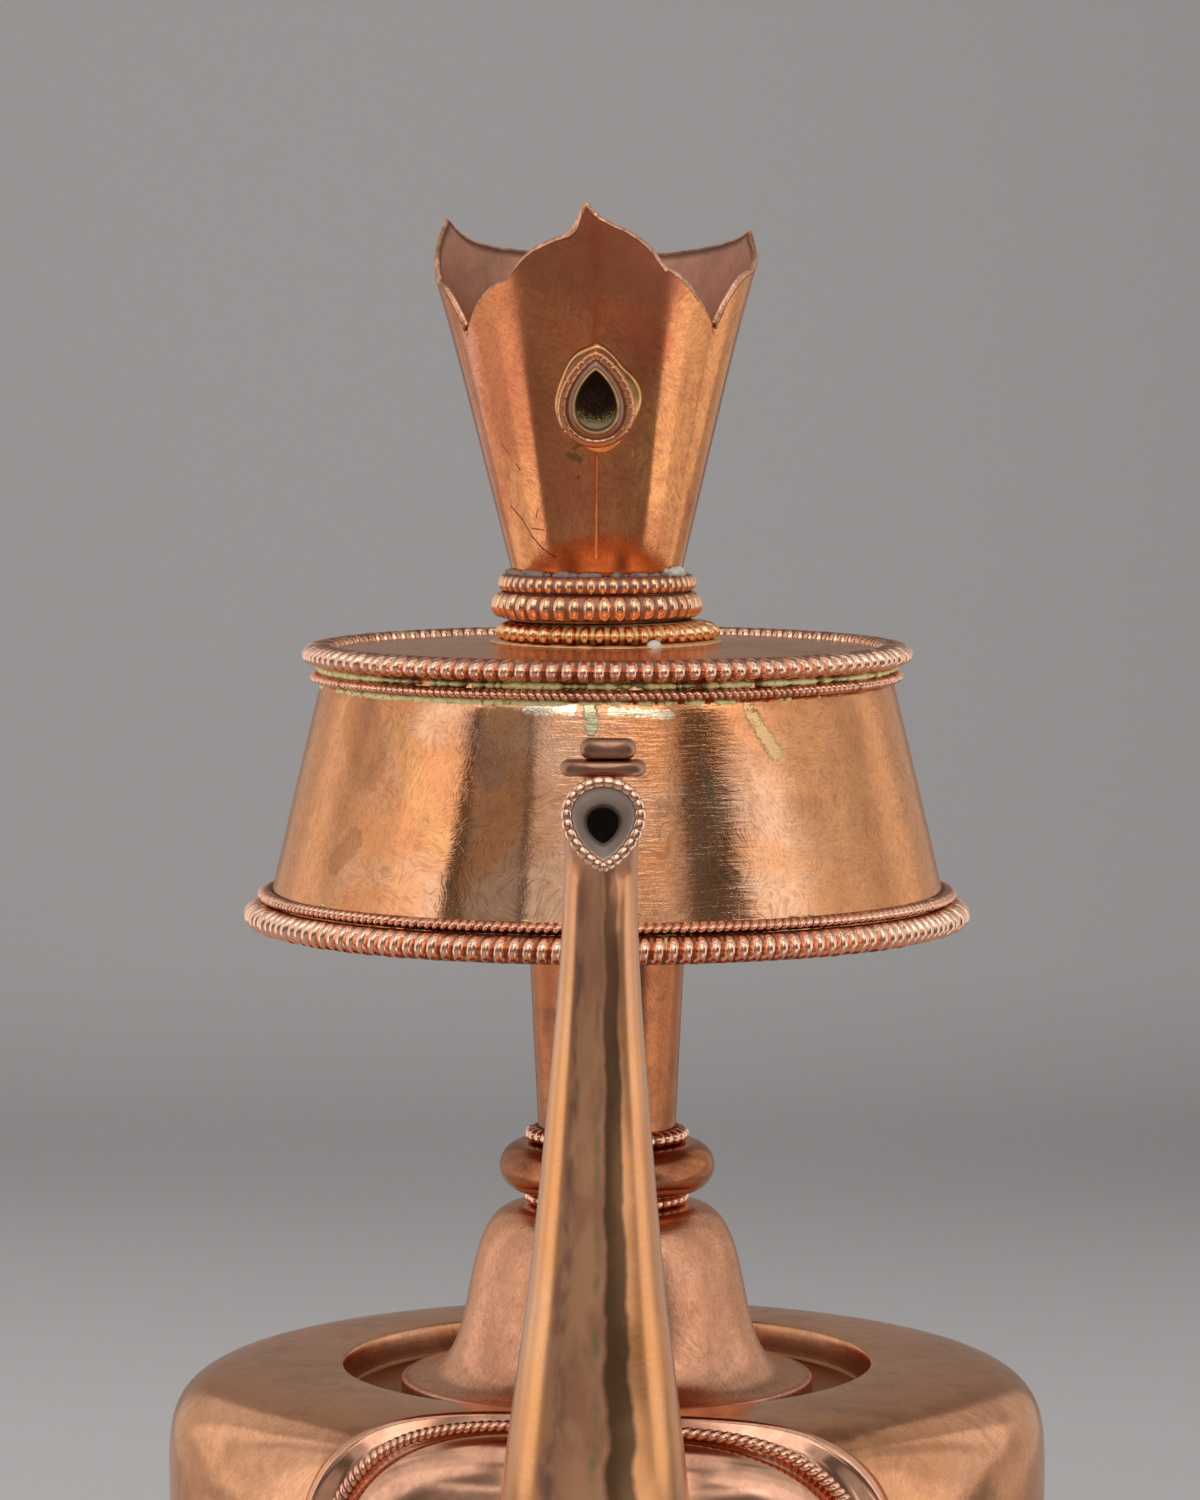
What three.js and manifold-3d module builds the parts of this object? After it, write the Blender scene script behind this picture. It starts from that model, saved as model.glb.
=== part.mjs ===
// Bumpa: a ritual water vase of polished sheet copper, about 218 mm tall.
// The frame is in millimetres with +Z up. The origin is the middle of the flat base that the
// vase stands on, +Z runs up the vase's axis, and the spout points along -Y.
//
// From the bottom up: a flared foot with a base plate, a wide belly raised in two halves, a bell
// and a slim neck with a knop, a hollow drum edged with beaded wire, and a loose three-petalled
// crown whose hollow stem drops into a socket in the drum. The spout grows out of an embossed
// medallion on the belly's front. Everything above the belly's recess stands on the piece below,
// so the heights are summed from the floor up.
import * as THREE from 'three';
import { mergeVertices } from 'three/addons/utils/BufferGeometryUtils.js';
import Module from 'manifold-3d';

const wasm = await Module();
wasm.setup();

// Sheet, wire and fitting clearances.
const bodySheet = 1.2;
const tubeWall = 0.9;
const cupSheet = 0.8;
const solderFilm = 0.1;
const cutGap = 0.3;

// Foot.
const footHemRadius = 36.0;
const footHemHeight = 1.4;
const footWireRise = 2.6;
const footWireHeight = 2.8;
const footHeight = 16.0;
const footTopRadius = 20.6;
const footTopOpening = 12.0;
const basePlateThickness = 0.8;
const waistRadius = 17.5;
const waistHeight = 2.6;
const waistWireRise = 2.4;

// Belly.
const bellyRadius = 52.7;
const bellyLowerHeight = 46.4;
const bellyLowerCentre = 12.0;
const bellySeamDrop = 31.0;
const shoulderHeight = 14.1;
const shoulderSquareness = 4.0;
const recessRadius = 31.8;
const recessDepth = 3.8;
const recessDraft = 0.6;

// Medallion round the root of the spout: half sizes of its rope wire, measured on the belly.
const medallionDrop = 5.8;
const medallionShift = 1.3;
const medallionTilt = THREE.MathUtils.degToRad(-4.0);
const medallionHalfWidth = 32.0;
const medallionHalfHeight = 21.5;
const medallionRoundness = 2.65;
const medallionBorder = 5.2;
const medallionEdgeRise = 0.9;
const medallionRidgeOut = 3.2;
const medallionRidgeRise = 2.4;
const medallionGrooveRise = 1.2;
const medallionDomeEdgeIn = 2.7;
const medallionDomeEdgeRise = 2.5;
const medallionDomeIn = 7.4;
const medallionDomeRise = 4.2;
const medallionOpeningIn = 12.4;
const medallionRopeWidth = 1.7;
const medallionRopeRise = 1.3;
const medallionRopeBeads = 28;

// Spout. Each station is forward of the belly's side, above its widest line, and a diameter.
const spoutStations = [
  [-7.0, -9.0, 26.6],
  [6.0, -5.2, 24.6],
  [17.6, 2.0, 22.6],
  [25.0, 12.5, 20.6],
  [28.4, 24.4, 17.8],
  [30.9, 35.9, 14.8],
  [33.9, 47.1, 12.6],
  [37.4, 58.2, 10.6],
  [40.2, 69.2, 8.8],
  [42.0, 78.0, 7.8],
  [44.2, 84.2, 7.6],
  [47.4, 87.6, 7.7],
  [51.7, 88.4, 8.0],
];
const spoutEndReach = 14.0;
const spoutRootShift = 1.7;
const spoutMouthShift = 0.5;
const spoutWall = 0.8;
const spoutMouthLip = 0.7;
const spoutMouthStretch = 1.15;
const spoutMouthPoint = 0.55;
const spoutMouthTaper = 10.0;
const mouthWireWidth = 1.2;
const mouthWireRise = 1.0;
const mouthWireBeads = 18;
const finialBarWidth = 8.8;
const finialBarHeight = 1.7;
const finialBarDepth = 4.4;
const finialBlockWidth = 5.8;
const finialBlockHeight = 2.2;
const finialBlockDepth = 3.2;
const finialBlockShift = 0.5;
const finialSetback = 1.4;

// Bell, knop and neck. The bell's line sweeps in from its foot, stands up at its waist and turns
// over into a flat top: each reach is how far that turn draws the line on.
const neckBoreRadius = 7.4;
const flangeRadius = 24.8;
const flangeThickness = 2.2;
const flangeSeat = 3.8;
const bellHeight = 20.7;
const bellFootRadius = 23.9;
const bellFootReachIn = 5.2;
const bellFootReachUp = 0.4;
const bellWaistRadius = 16.6;
const bellWaistHeight = 10.0;
const bellWaistReachOut = 1.2;
const bellWaistReachDown = 6.0;
const bellWaistReachIn = 1.0;
const bellWaistReachUp = 5.0;
const bellTopRadius = 10.2;
const bellTopReachOut = 4.5;
const knopWireRise = 1.5;
const lowerKnopWireHeight = 1.7;
const knopHeight = 5.8;
const knopRadius = 12.85;
const knopRound = 2.8;
const upperKnopWireHeight = 1.9;
const knopWireBeads = 20;
const neckLength = 33.9;
const neckTopRadius = 9.5;

// Drum.
const drumHeight = 33.6;
const drumTopRadius = 33.35;
const drumBottomRadius = 40.87;
const drumPlateThickness = 1.0;
const lowerWireHeight = 3.4;
const lowerWireRise = 2.7;
const lowerWireOverhang = 0.5;
const lowerTrimHeight = 1.4;
const lowerTrimRise = 1.5;
const upperWireHeight = 2.7;
const upperWireRise = 2.6;
const upperTrimHeight = 1.3;
const upperTrimRise = 1.3;
const upperTrimDrop = 4.7;

// Socket that the crown's stem drops into.
const socketRadius = 9.4;
const socketWall = 1.0;
const socketDepth = 19.7;
const socketRise = 2.7;
const socketRingHeight = 2.6;
const socketRingRise = 3.0;
const socketRingBeads = 45;

// Crown: it stands a little to the left in its loose socket.
const crownShift = 1.2;
const crownStemRadius = 8.0;
const crownStemLength = 24.0;
const crownCollarRadius = 10.9;
const crownCollarHeight = 5.5;
const middleWireHeight = 3.2;
const middleWireRise = 1.7;
const middleWireBeads = 41;
const middleWireLift = 0.2;
const topWireHeight = 2.0;
const topWireRise = 0.85;
const topWireBeads = 54;
const cupFootRadius = 10.1;
const cupTaper = 0.2415;
const cupFlare = 1.2;
const cupFlareSharpness = 6;
const cupLean = 0.4;
const petalTurn = THREE.MathUtils.degToRad(-2.5);
const leftHalfAngle = THREE.MathUtils.degToRad(59.3);
const rightHalfAngle = THREE.MathUtils.degToRad(57.0);
const frontTipHeight = 43.9;
const leftTipHeight = 42.2;
const rightTipHeight = 40.5;
const petalTipRise = 2.0;
const leftCuspHeight = 34.9;
const rightCuspHeight = 36.2;
const petalNotchHeight = 28.9;
const rearEdgeHeight = 37.8;
const rearEdgeHollow = 1.6;
const notchHoleDiameter = 1.0;
const notchHoleDrop = 0.3;
const petalTipSharpness = THREE.MathUtils.degToRad(2.0);
const petalCuspAngle = THREE.MathUtils.degToRad(29.8);
const petalShoulderRound = 1.8;
const petalLobeRound = 1.7;

// The empty stone setting on the front petal.
const gemTurn = THREE.MathUtils.degToRad(1.1);
const gemHeight = 21.4;
const gemPlateWidth = 9.4;
const gemPlateLength = 12.7;
const gemPlateThickness = 0.6;
const gemRopeWidth = 1.3;
const gemRopeRise = 1.0;
const gemRopeInset = 0.5;
const gemRopeBeads = 18;
const gemBezelWidth = 5.9;
const gemBezelLength = 8.0;
const gemBezelWall = 0.5;
const gemBezelPointWall = 0.75;
const gemBezelHeight = 1.7;
const gemPoint = 0.6;

// How finely the round pieces are faceted.
const broadFacets = 30;
const slimFacets = 24;
const spoutFacets = 12;
const beadPinch = 0.62;
const beadCrownShare = 0.55;
const wireRoundRise = 0.7;
const wireRoundShare = 0.14;

// Heights above the floor, each from the one below it.
const waistTop = footHeight + waistHeight;
const equator = waistTop + bellyLowerHeight;
const shoulderTop = equator + shoulderHeight;
const recessFloor = shoulderTop - recessDepth;
const bellFoot = recessFloor + flangeThickness;
const bellTop = bellFoot + bellHeight;
const knopFoot = bellTop + lowerKnopWireHeight;
const knopTop = knopFoot + knopHeight;
const drumFoot = bellTop + neckLength;
const drumTop = drumFoot + drumHeight;
const crownSeat = drumTop + socketRise;
const cupFoot = crownSeat + crownCollarHeight;

// The neck's lower length is as slim as the bore and the tube's wall allow.
const neckRadius = neckBoreRadius + tubeWall;
const crownStemBore = crownStemRadius - tubeWall;
const footWireSeat = footHemRadius - footWireRise;
const footInnerRadius = footWireSeat - bodySheet;

const polishedCopper = { color: 0xb9714c, roughness: 0.28, metalness: 1.0 };
const darkCopper = { color: 0x8c5439, roughness: 0.42, metalness: 1.0 };
const spoutCopper = { color: 0xa8693f, roughness: 0.34, metalness: 1.0 };
const solderedBrass = { color: 0xb08a4a, roughness: 0.4, metalness: 1.0 };

const vase = new THREE.Group();
const crown = new THREE.Group();
crown.position.x = -crownShift;
vase.add(crown);

// Adds one named piece to its group, in its own material.
function addPiece(name, geometry, finish, parent = vase) {
  const mesh = new THREE.Mesh(geometry, new THREE.MeshStandardMaterial(finish));
  mesh.name = name;
  parent.add(mesh);
  return mesh;
}

// Six times the volume inside a triangle mesh: negative where its faces point in.
function signedVolume(positions, index) {
  const a = new THREE.Vector3();
  const b = new THREE.Vector3();
  const c = new THREE.Vector3();
  let total = 0;
  for (let i = 0; i < index.length; i += 3) {
    a.fromArray(positions, index[i] * 3);
    b.fromArray(positions, index[i + 1] * 3);
    c.fromArray(positions, index[i + 2] * 3);
    total += a.dot(b.cross(c));
  }
  return total;
}

// Merges shared points, drops collapsed triangles and turns the faces outwards.
function closed(geometry) {
  geometry.deleteAttribute('normal');
  geometry.deleteAttribute('uv');
  const merged = mergeVertices(geometry, 1e-4);
  const source = merged.index.array;
  const kept = [];
  for (let i = 0; i < source.length; i += 3) {
    const [a, b, c] = [source[i], source[i + 1], source[i + 2]];
    if (a !== b && b !== c && c !== a) {
      kept.push(a, b, c);
    }
  }
  if (signedVolume(merged.attributes.position.array, kept) < 0) {
    kept.reverse();
  }
  merged.setIndex(kept);
  merged.computeVertexNormals();
  return merged;
}

function toSolid(geometry) {
  const vertProperties = new Float32Array(geometry.attributes.position.array);
  const triVerts = new Uint32Array(geometry.index.array);
  return new wasm.Manifold(new wasm.Mesh({ numProp: 3, vertProperties, triVerts }));
}

function fromSolid(solid) {
  const mesh = solid.getMesh();
  const geometry = new THREE.BufferGeometry();
  geometry.setAttribute('position', new THREE.BufferAttribute(mesh.vertProperties, 3));
  geometry.setIndex(Array.from(mesh.triVerts));
  geometry.computeVertexNormals();
  return geometry;
}

// Turns a profile of [radius, height] pairs round +Z.
function revolve(profile, facets) {
  const points = profile.map(([radius, height]) => new THREE.Vector2(radius, height));
  const geometry = new THREE.LatheGeometry(points, facets);
  geometry.rotateX(Math.PI / 2);
  return closed(geometry);
}

// The same for a ring or tube whose profile closes on itself.
function revolveRing(profile, facets) {
  return revolve([...profile, profile[0]], facets);
}

// Evenly spaced points of a curve formula, ends included.
function sampled(steps, formula) {
  return Array.from({ length: steps + 1 }, (unused, i) => formula(i / steps));
}

// Joins a row of rings of equally many points. A row that closes on itself makes a loop, any
// other gets flat ends.
function loft(rings, closesOnItself) {
  const sides = rings[0].length;
  const positions = rings.flat().flatMap((point) => point.toArray());
  const index = [];
  const spans = closesOnItself ? rings.length : rings.length - 1;
  for (let i = 0; i < spans; i += 1) {
    const here = i * sides;
    const next = ((i + 1) % rings.length) * sides;
    for (let j = 0; j < sides; j += 1) {
      const k = (j + 1) % sides;
      index.push(here + j, next + j, next + k);
      index.push(here + j, next + k, here + k);
    }
  }
  if (!closesOnItself) {
    const last = (rings.length - 1) * sides;
    for (let j = 1; j < sides - 1; j += 1) {
      index.push(0, j, j + 1);
      index.push(last, last + j + 1, last + j);
    }
  }
  const geometry = new THREE.BufferGeometry();
  geometry.setAttribute('position', new THREE.Float32BufferAttribute(positions, 3));
  geometry.setIndex(index);
  return closed(geometry);
}

// A small share of a line's length, to find the way it runs.
const nearby = 0.002;

// A beaded wire laid along a closed line. The line gives, for a share of its length, a point on
// the surface that carries the wire, the way out of that surface, and the way across the wire.
function beadedWire({ line, width, rise, beads }) {
  const rings = [];
  for (let i = 0; i < beads * 2; i += 1) {
    const { point, out, across } = line(i / (beads * 2));
    const swell = i % 2 === 0 ? 1 : beadPinch;
    const place = (side, height) => point
      .clone()
      .addScaledVector(across, side * width * 0.5)
      .addScaledVector(out, height * rise);
    const flank = beadCrownShare * swell;
    rings.push([place(-swell, 0), place(-flank, swell), place(flank, swell), place(swell, 0)]);
  }
  return loft(rings, true);
}

// A wire too fine for beads here: a ring with a flat back and a round front.
function plainWire({ seatRadius, foot, height, rise, facets }) {
  const back = seatRadius + solderFilm;
  return revolveRing([
    [back, foot],
    [back + rise * wireRoundRise, foot + height * wireRoundShare],
    [back + rise, foot + height / 2],
    [back + rise * wireRoundRise, foot + height * (1 - wireRoundShare)],
    [back, foot + height],
  ], facets);
}

// The line of a wire that goes round a wall, at a seat radius and a height.
function roundWall(seatRadius, height) {
  return (share) => {
    const angle = share * Math.PI * 2;
    const out = new THREE.Vector3(Math.cos(angle), Math.sin(angle), 0);
    return {
      point: out.clone().multiplyScalar(seatRadius + solderFilm).setZ(height),
      out,
      across: new THREE.Vector3(0, 0, 1),
    };
  };
}

// A teardrop in a plane, of a stated width and length. It is drawn to a point at +Y, or at -Y
// for a negative length, and is an ellipse where the point is 0.
function teardrop(share, width, length, point) {
  const angle = share * Math.PI * 2;
  const narrowing = Math.abs(Math.sin(angle / 2)) ** point;
  const widest = (2 * ((1 + point) / (2 + point)) ** ((1 + point) / 2)) / Math.sqrt(2 + point);
  return new THREE.Vector2(
    (Math.sin(angle) * narrowing * width) / widest / 2,
    (Math.cos(angle) * length) / 2,
  );
}

// The belly's profile as [radius, height] pairs, taken in by an inset for its inner face. Below
// the widest line it is an oval, given by the turns round its centre at the waist and the seam.
function undersideOval(inset) {
  const across = bellyRadius - bellyLowerCentre - inset;
  const waistTurn = Math.acos((waistRadius - bellyLowerCentre - inset) / across);
  const reach = (bellyLowerHeight - inset) / Math.sin(waistTurn);
  const seamTurn = Math.asin(bellySeamDrop / reach);
  const at = (turn) => [
    bellyLowerCentre + across * Math.cos(turn),
    equator - reach * Math.sin(turn),
  ];
  return { waistTurn, seamTurn, at };
}

function waistToSeam(steps, inset) {
  const { waistTurn, seamTurn, at } = undersideOval(inset);
  return sampled(steps, (t) => at(THREE.MathUtils.lerp(waistTurn, seamTurn, t)));
}

function seamToEquator(steps, inset) {
  const { seamTurn, at } = undersideOval(inset);
  return sampled(steps, (t) => at(seamTurn * (1 - t)));
}

// Above the widest line the belly is squarer, up to the edge of its recess.
function equatorToRecess(steps, inset) {
  const across = bellyRadius - recessRadius - inset;
  const rise = shoulderHeight - inset;
  const power = 2 / shoulderSquareness;
  return sampled(steps, (t) => {
    const turn = (t * Math.PI) / 2;
    return [
      recessRadius + across * Math.cos(turn) ** power,
      equator + rise * Math.sin(turn) ** power,
    ];
  });
}

// A finely stepped line up the belly's outer skin, with the length along it at every step.
const skinSteps = 40;
const bellySkin = [
  ...waistToSeam(skinSteps, 0),
  ...seamToEquator(skinSteps, 0).slice(1),
  ...equatorToRecess(skinSteps * 2, 0).slice(1),
];
const skinLengths = [0];
for (let i = 1; i < bellySkin.length; i += 1) {
  const [r0, z0] = bellySkin[i - 1];
  const [r1, z1] = bellySkin[i];
  skinLengths.push(skinLengths[i - 1] + Math.hypot(r1 - r0, z1 - z0));
}
const equatorLength = skinLengths[skinSteps * 2];

// A point off the belly's skin: its length along the skin above the widest line, its distance
// sideways round the belly, and its rise out of the skin.
function onBelly(lengthAbove, sideways, rise) {
  const wanted = THREE.MathUtils.clamp(
    equatorLength + lengthAbove,
    skinLengths[1],
    skinLengths[skinLengths.length - 2],
  );
  const i = skinLengths.findIndex((length) => length > wanted);
  const share = (wanted - skinLengths[i - 1]) / (skinLengths[i] - skinLengths[i - 1]);
  const [r0, z0] = bellySkin[i - 1];
  const [r1, z1] = bellySkin[i];
  const along = new THREE.Vector2(r1 - r0, z1 - z0).normalize();
  const radius = THREE.MathUtils.lerp(r0, r1, share) + along.y * rise;
  const height = THREE.MathUtils.lerp(z0, z1, share) - along.x * rise;
  const turn = sideways / bellyRadius;
  return new THREE.Vector3(radius * Math.sin(turn), -radius * Math.cos(turn), height);
}

// Foot.
function makeFoot() {
  const flareFoot = footHemHeight + footWireHeight;
  const flare = (steps, drop) => sampled(steps, (t) => {
    const turn = (t * Math.PI) / 2;
    return [
      footWireSeat - drop - (footWireSeat - footTopRadius) * Math.sin(turn),
      flareFoot - drop + (footHeight - flareFoot) * (1 - Math.cos(turn)),
    ];
  });
  addPiece('foot_ring', revolveRing([
    [footHemRadius, 0],
    [footHemRadius, footHemHeight],
    [footWireSeat, footHemHeight],
    ...flare(4, 0),
    [footTopOpening, footHeight],
    [footTopOpening, footHeight - bodySheet],
    ...flare(3, bodySheet).reverse(),
    [footInnerRadius, 0],
  ], broadFacets), polishedCopper);
  addPiece('base_plate', revolve([
    [0, 0],
    [footInnerRadius - solderFilm, 0],
    [footInnerRadius - solderFilm, basePlateThickness],
    [0, basePlateThickness],
  ], broadFacets), darkCopper);
  addPiece('foot_beaded_wire', plainWire({
    seatRadius: footWireSeat,
    foot: footHemHeight,
    height: footWireHeight,
    rise: footWireRise - solderFilm,
    facets: broadFacets,
  }), darkCopper);
  addPiece('waist_beaded_wire', plainWire({
    seatRadius: waistRadius,
    foot: footHeight,
    height: waistHeight - solderFilm,
    rise: waistWireRise,
    facets: broadFacets,
  }), darkCopper);
}

// The two halves of the belly meet at the seam below the spout.
function bellyBowl() {
  return revolve([
    [0, footHeight],
    [waistRadius, footHeight],
    ...waistToSeam(5, 0),
    ...waistToSeam(3, bodySheet).reverse(),
    [waistRadius - bodySheet, footHeight + bodySheet],
    [0, footHeight + bodySheet],
  ], broadFacets);
}

function bellyShoulder() {
  const recessWall = recessRadius - recessDraft;
  const bellyMouthRadius = flangeRadius - flangeSeat;
  return revolveRing([
    ...seamToEquator(3, 0),
    ...equatorToRecess(7, 0).slice(1),
    [recessWall, recessFloor],
    [bellyMouthRadius, recessFloor],
    [bellyMouthRadius, recessFloor - bodySheet],
    [recessWall + bodySheet, recessFloor - bodySheet],
    ...equatorToRecess(4, bodySheet).reverse().map(([r, z]) => (
      [Math.max(r, recessWall + bodySheet), z]
    )),
    ...seamToEquator(2, bodySheet).reverse().slice(1),
  ], broadFacets);
}

// Spout: its root stands a little to the left of the vase's axis, and its mouth less so.
const spoutSteps = spoutStations.length - 1;
const spoutLine = new THREE.CatmullRomCurve3(spoutStations.map(([forward, up], i) => {
  const shift = THREE.MathUtils.lerp(spoutRootShift, spoutMouthShift, i / spoutSteps);
  return new THREE.Vector3(-shift, -(bellyRadius + forward), equator + up);
}), false, 'centripetal');

function spoutDiameter(share) {
  const place = share * spoutSteps;
  const i = Math.min(Math.floor(place), spoutSteps - 1);
  return THREE.MathUtils.lerp(spoutStations[i][2], spoutStations[i + 1][2], place - i);
}

// One ring of the spout, grown by some millimetres and pushed along the centre line's end.
function spoutRing(share, growth, push = 0) {
  const centre = spoutLine.getPoint(share);
  const ahead = spoutLine.getTangent(share);
  const up = new THREE.Vector3(0, ahead.z, -ahead.y).normalize();
  centre.addScaledVector(ahead, push);
  const toMouth = spoutLine.getPoint(1).distanceTo(centre);
  const mouthShare = Math.max(0, 1 - toMouth / spoutMouthTaper);
  const width = spoutDiameter(share) + growth * 2;
  const length = width * THREE.MathUtils.lerp(1, spoutMouthStretch, mouthShare);
  return Array.from({ length: spoutFacets }, (unused, i) => {
    const flat = teardrop(i / spoutFacets, width, -length, spoutMouthPoint * mouthShare);
    return new THREE.Vector3(flat.x, 0, 0).addScaledVector(up, flat.y).add(centre);
  });
}

const spoutShares = sampled(spoutSteps + 4, (t) => t);

// The spout's own form, grown by some millimetres and carried on past both its ends.
function spoutSleeve(growth) {
  const rings = spoutShares.map((share) => spoutRing(share, growth));
  rings.unshift(spoutRing(0, growth, -spoutEndReach));
  rings.push(spoutRing(1, growth, spoutEndReach));
  return loft(rings, false);
}

function makeBellyAndSpout() {
  const bore = toSolid(spoutSleeve(-spoutWall));
  const skin = toSolid(revolve([
    [0, footHeight],
    ...waistToSeam(12, -cutGap),
    ...seamToEquator(6, -cutGap).slice(1),
    ...equatorToRecess(16, -cutGap).slice(1),
    [0, shoulderTop + cutGap],
  ], broadFacets));
  const tube = toSolid(loft(spoutShares.map((share) => spoutRing(share, 0)), false));
  const holed = toSolid(bellyShoulder()).subtract(bore);
  addPiece('belly_bowl', bellyBowl(), polishedCopper);
  addPiece('belly_shoulder', fromSolid(holed), polishedCopper);
  addPiece('spout_tube', fromSolid(tube.subtract(bore).subtract(skin)), spoutCopper);
  const sleeve = toSolid(spoutSleeve(cutGap));
  const plate = toSolid(medallionPlate()).subtract(skin).subtract(sleeve);
  addPiece('medallion_plate', fromSolid(plate), polishedCopper);
}

// Medallion: rings of a rounded oval laid on the belly, each at its own rise.
function medallionOval(share, growth) {
  const angle = share * Math.PI * 2;
  const power = 2 / medallionRoundness;
  const curve = (value) => Math.sign(value) * Math.abs(value) ** power;
  const across = (medallionHalfWidth + growth) * curve(Math.cos(angle));
  const along = (medallionHalfHeight + growth) * curve(Math.sin(angle));
  return [
    across * Math.cos(medallionTilt) - along * Math.sin(medallionTilt) - medallionShift,
    across * Math.sin(medallionTilt) + along * Math.cos(medallionTilt) - medallionDrop,
  ];
}

function medallionPlate() {
  const sides = 32;
  const ring = (growth, rise) => Array.from({ length: sides }, (unused, i) => {
    const [sideways, above] = medallionOval(i / sides, growth);
    return onBelly(above, sideways, rise);
  });
  return loft([
    ring(-medallionOpeningIn, -bodySheet),
    ring(medallionBorder, -bodySheet),
    ring(medallionBorder, medallionEdgeRise),
    ring(medallionRidgeOut, medallionRidgeRise),
    ring(medallionRopeWidth / 2, medallionGrooveRise),
    ring(-medallionRopeWidth / 2, medallionGrooveRise),
    ring(-medallionDomeEdgeIn, medallionDomeEdgeRise),
    ring(-medallionDomeIn, medallionDomeRise),
    ring(-medallionOpeningIn, medallionDomeRise),
  ], true);
}

function makeMedallionRope() {
  const line = (share) => {
    const [sideways, above] = medallionOval(share, 0);
    const point = onBelly(above, sideways, medallionGrooveRise + cutGap);
    const out = onBelly(above, sideways, medallionGrooveRise + 1).sub(point).normalize();
    const [nextSideways, nextAbove] = medallionOval(share + nearby, 0);
    const ahead = onBelly(nextAbove, nextSideways, medallionGrooveRise + cutGap).sub(point);
    return { point, out, across: ahead.cross(out).normalize() };
  };
  addPiece('medallion_rope_wire', beadedWire({
    line,
    width: medallionRopeWidth,
    rise: medallionRopeRise,
    beads: medallionRopeBeads,
  }), darkCopper);
}

function makeMouth() {
  const end = spoutLine.getPoint(1);
  const ahead = spoutLine.getTangent(1);
  const up = new THREE.Vector3(0, ahead.z, -ahead.y).normalize();
  const width = spoutDiameter(1) + spoutMouthLip - mouthWireWidth;
  const face = end.clone().addScaledVector(ahead, cutGap);
  const place = (share) => {
    const flat = teardrop(share, width, -width * spoutMouthStretch, spoutMouthPoint);
    return new THREE.Vector3(flat.x, 0, 0).addScaledVector(up, flat.y).add(face);
  };
  const line = (share) => {
    const point = place(share);
    const along = place(share + nearby).sub(place(share - nearby)).normalize();
    return { point, out: ahead, across: along.cross(ahead).normalize() };
  };
  addPiece('spout_mouth_wire', beadedWire({
    line,
    width: mouthWireWidth,
    rise: mouthWireRise,
    beads: mouthWireBeads,
  }), darkCopper);
}

// A bar across the spout with round ends, its back and front drawn in like a small scroll.
function scrollBar(width, height, depth) {
  const shape = new THREE.Shape();
  const half = width / 2;
  const turn = height / 2;
  shape.moveTo(-half + turn, 0);
  shape.lineTo(half - turn, 0);
  shape.absarc(half - turn, turn, turn, -Math.PI / 2, Math.PI / 2, false);
  shape.lineTo(-half + turn, height);
  shape.absarc(-half + turn, turn, turn, Math.PI / 2, (Math.PI * 3) / 2, false);
  const geometry = new THREE.ExtrudeGeometry(shape, {
    depth,
    bevelEnabled: false,
    curveSegments: 5,
  });
  geometry.rotateX(Math.PI / 2);
  return closed(geometry);
}

function makeFinial() {
  const mouth = spoutLine.getPoint(1);
  const front = mouth.y + finialSetback;
  const crest = (share) => spoutRing(share, 0).reduce((top, point) => (
    point.z > top.z ? point : top
  ));
  const lip = crest(1);
  const behind = crest(spoutShares[spoutShares.length - 2]);
  const run = (front - lip.y) / (behind.y - lip.y);
  const tubeTop = THREE.MathUtils.lerp(lip.z, behind.z, THREE.MathUtils.clamp(run, 0, 1));
  const bar = addPiece(
    'spout_finial_bar',
    scrollBar(finialBarWidth, finialBarHeight, finialBarDepth),
    darkCopper,
  );
  bar.position.set(mouth.x, front + finialBarDepth, tubeTop + cutGap);
  const block = addPiece(
    'spout_finial_scroll',
    scrollBar(finialBlockWidth, finialBlockHeight, finialBlockDepth),
    darkCopper,
  );
  const inset = (finialBarDepth - finialBlockDepth) / 2;
  const blockFoot = tubeTop + cutGap + finialBarHeight;
  block.position.set(mouth.x + finialBlockShift, front + inset + finialBlockDepth, blockFoot);
}

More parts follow.
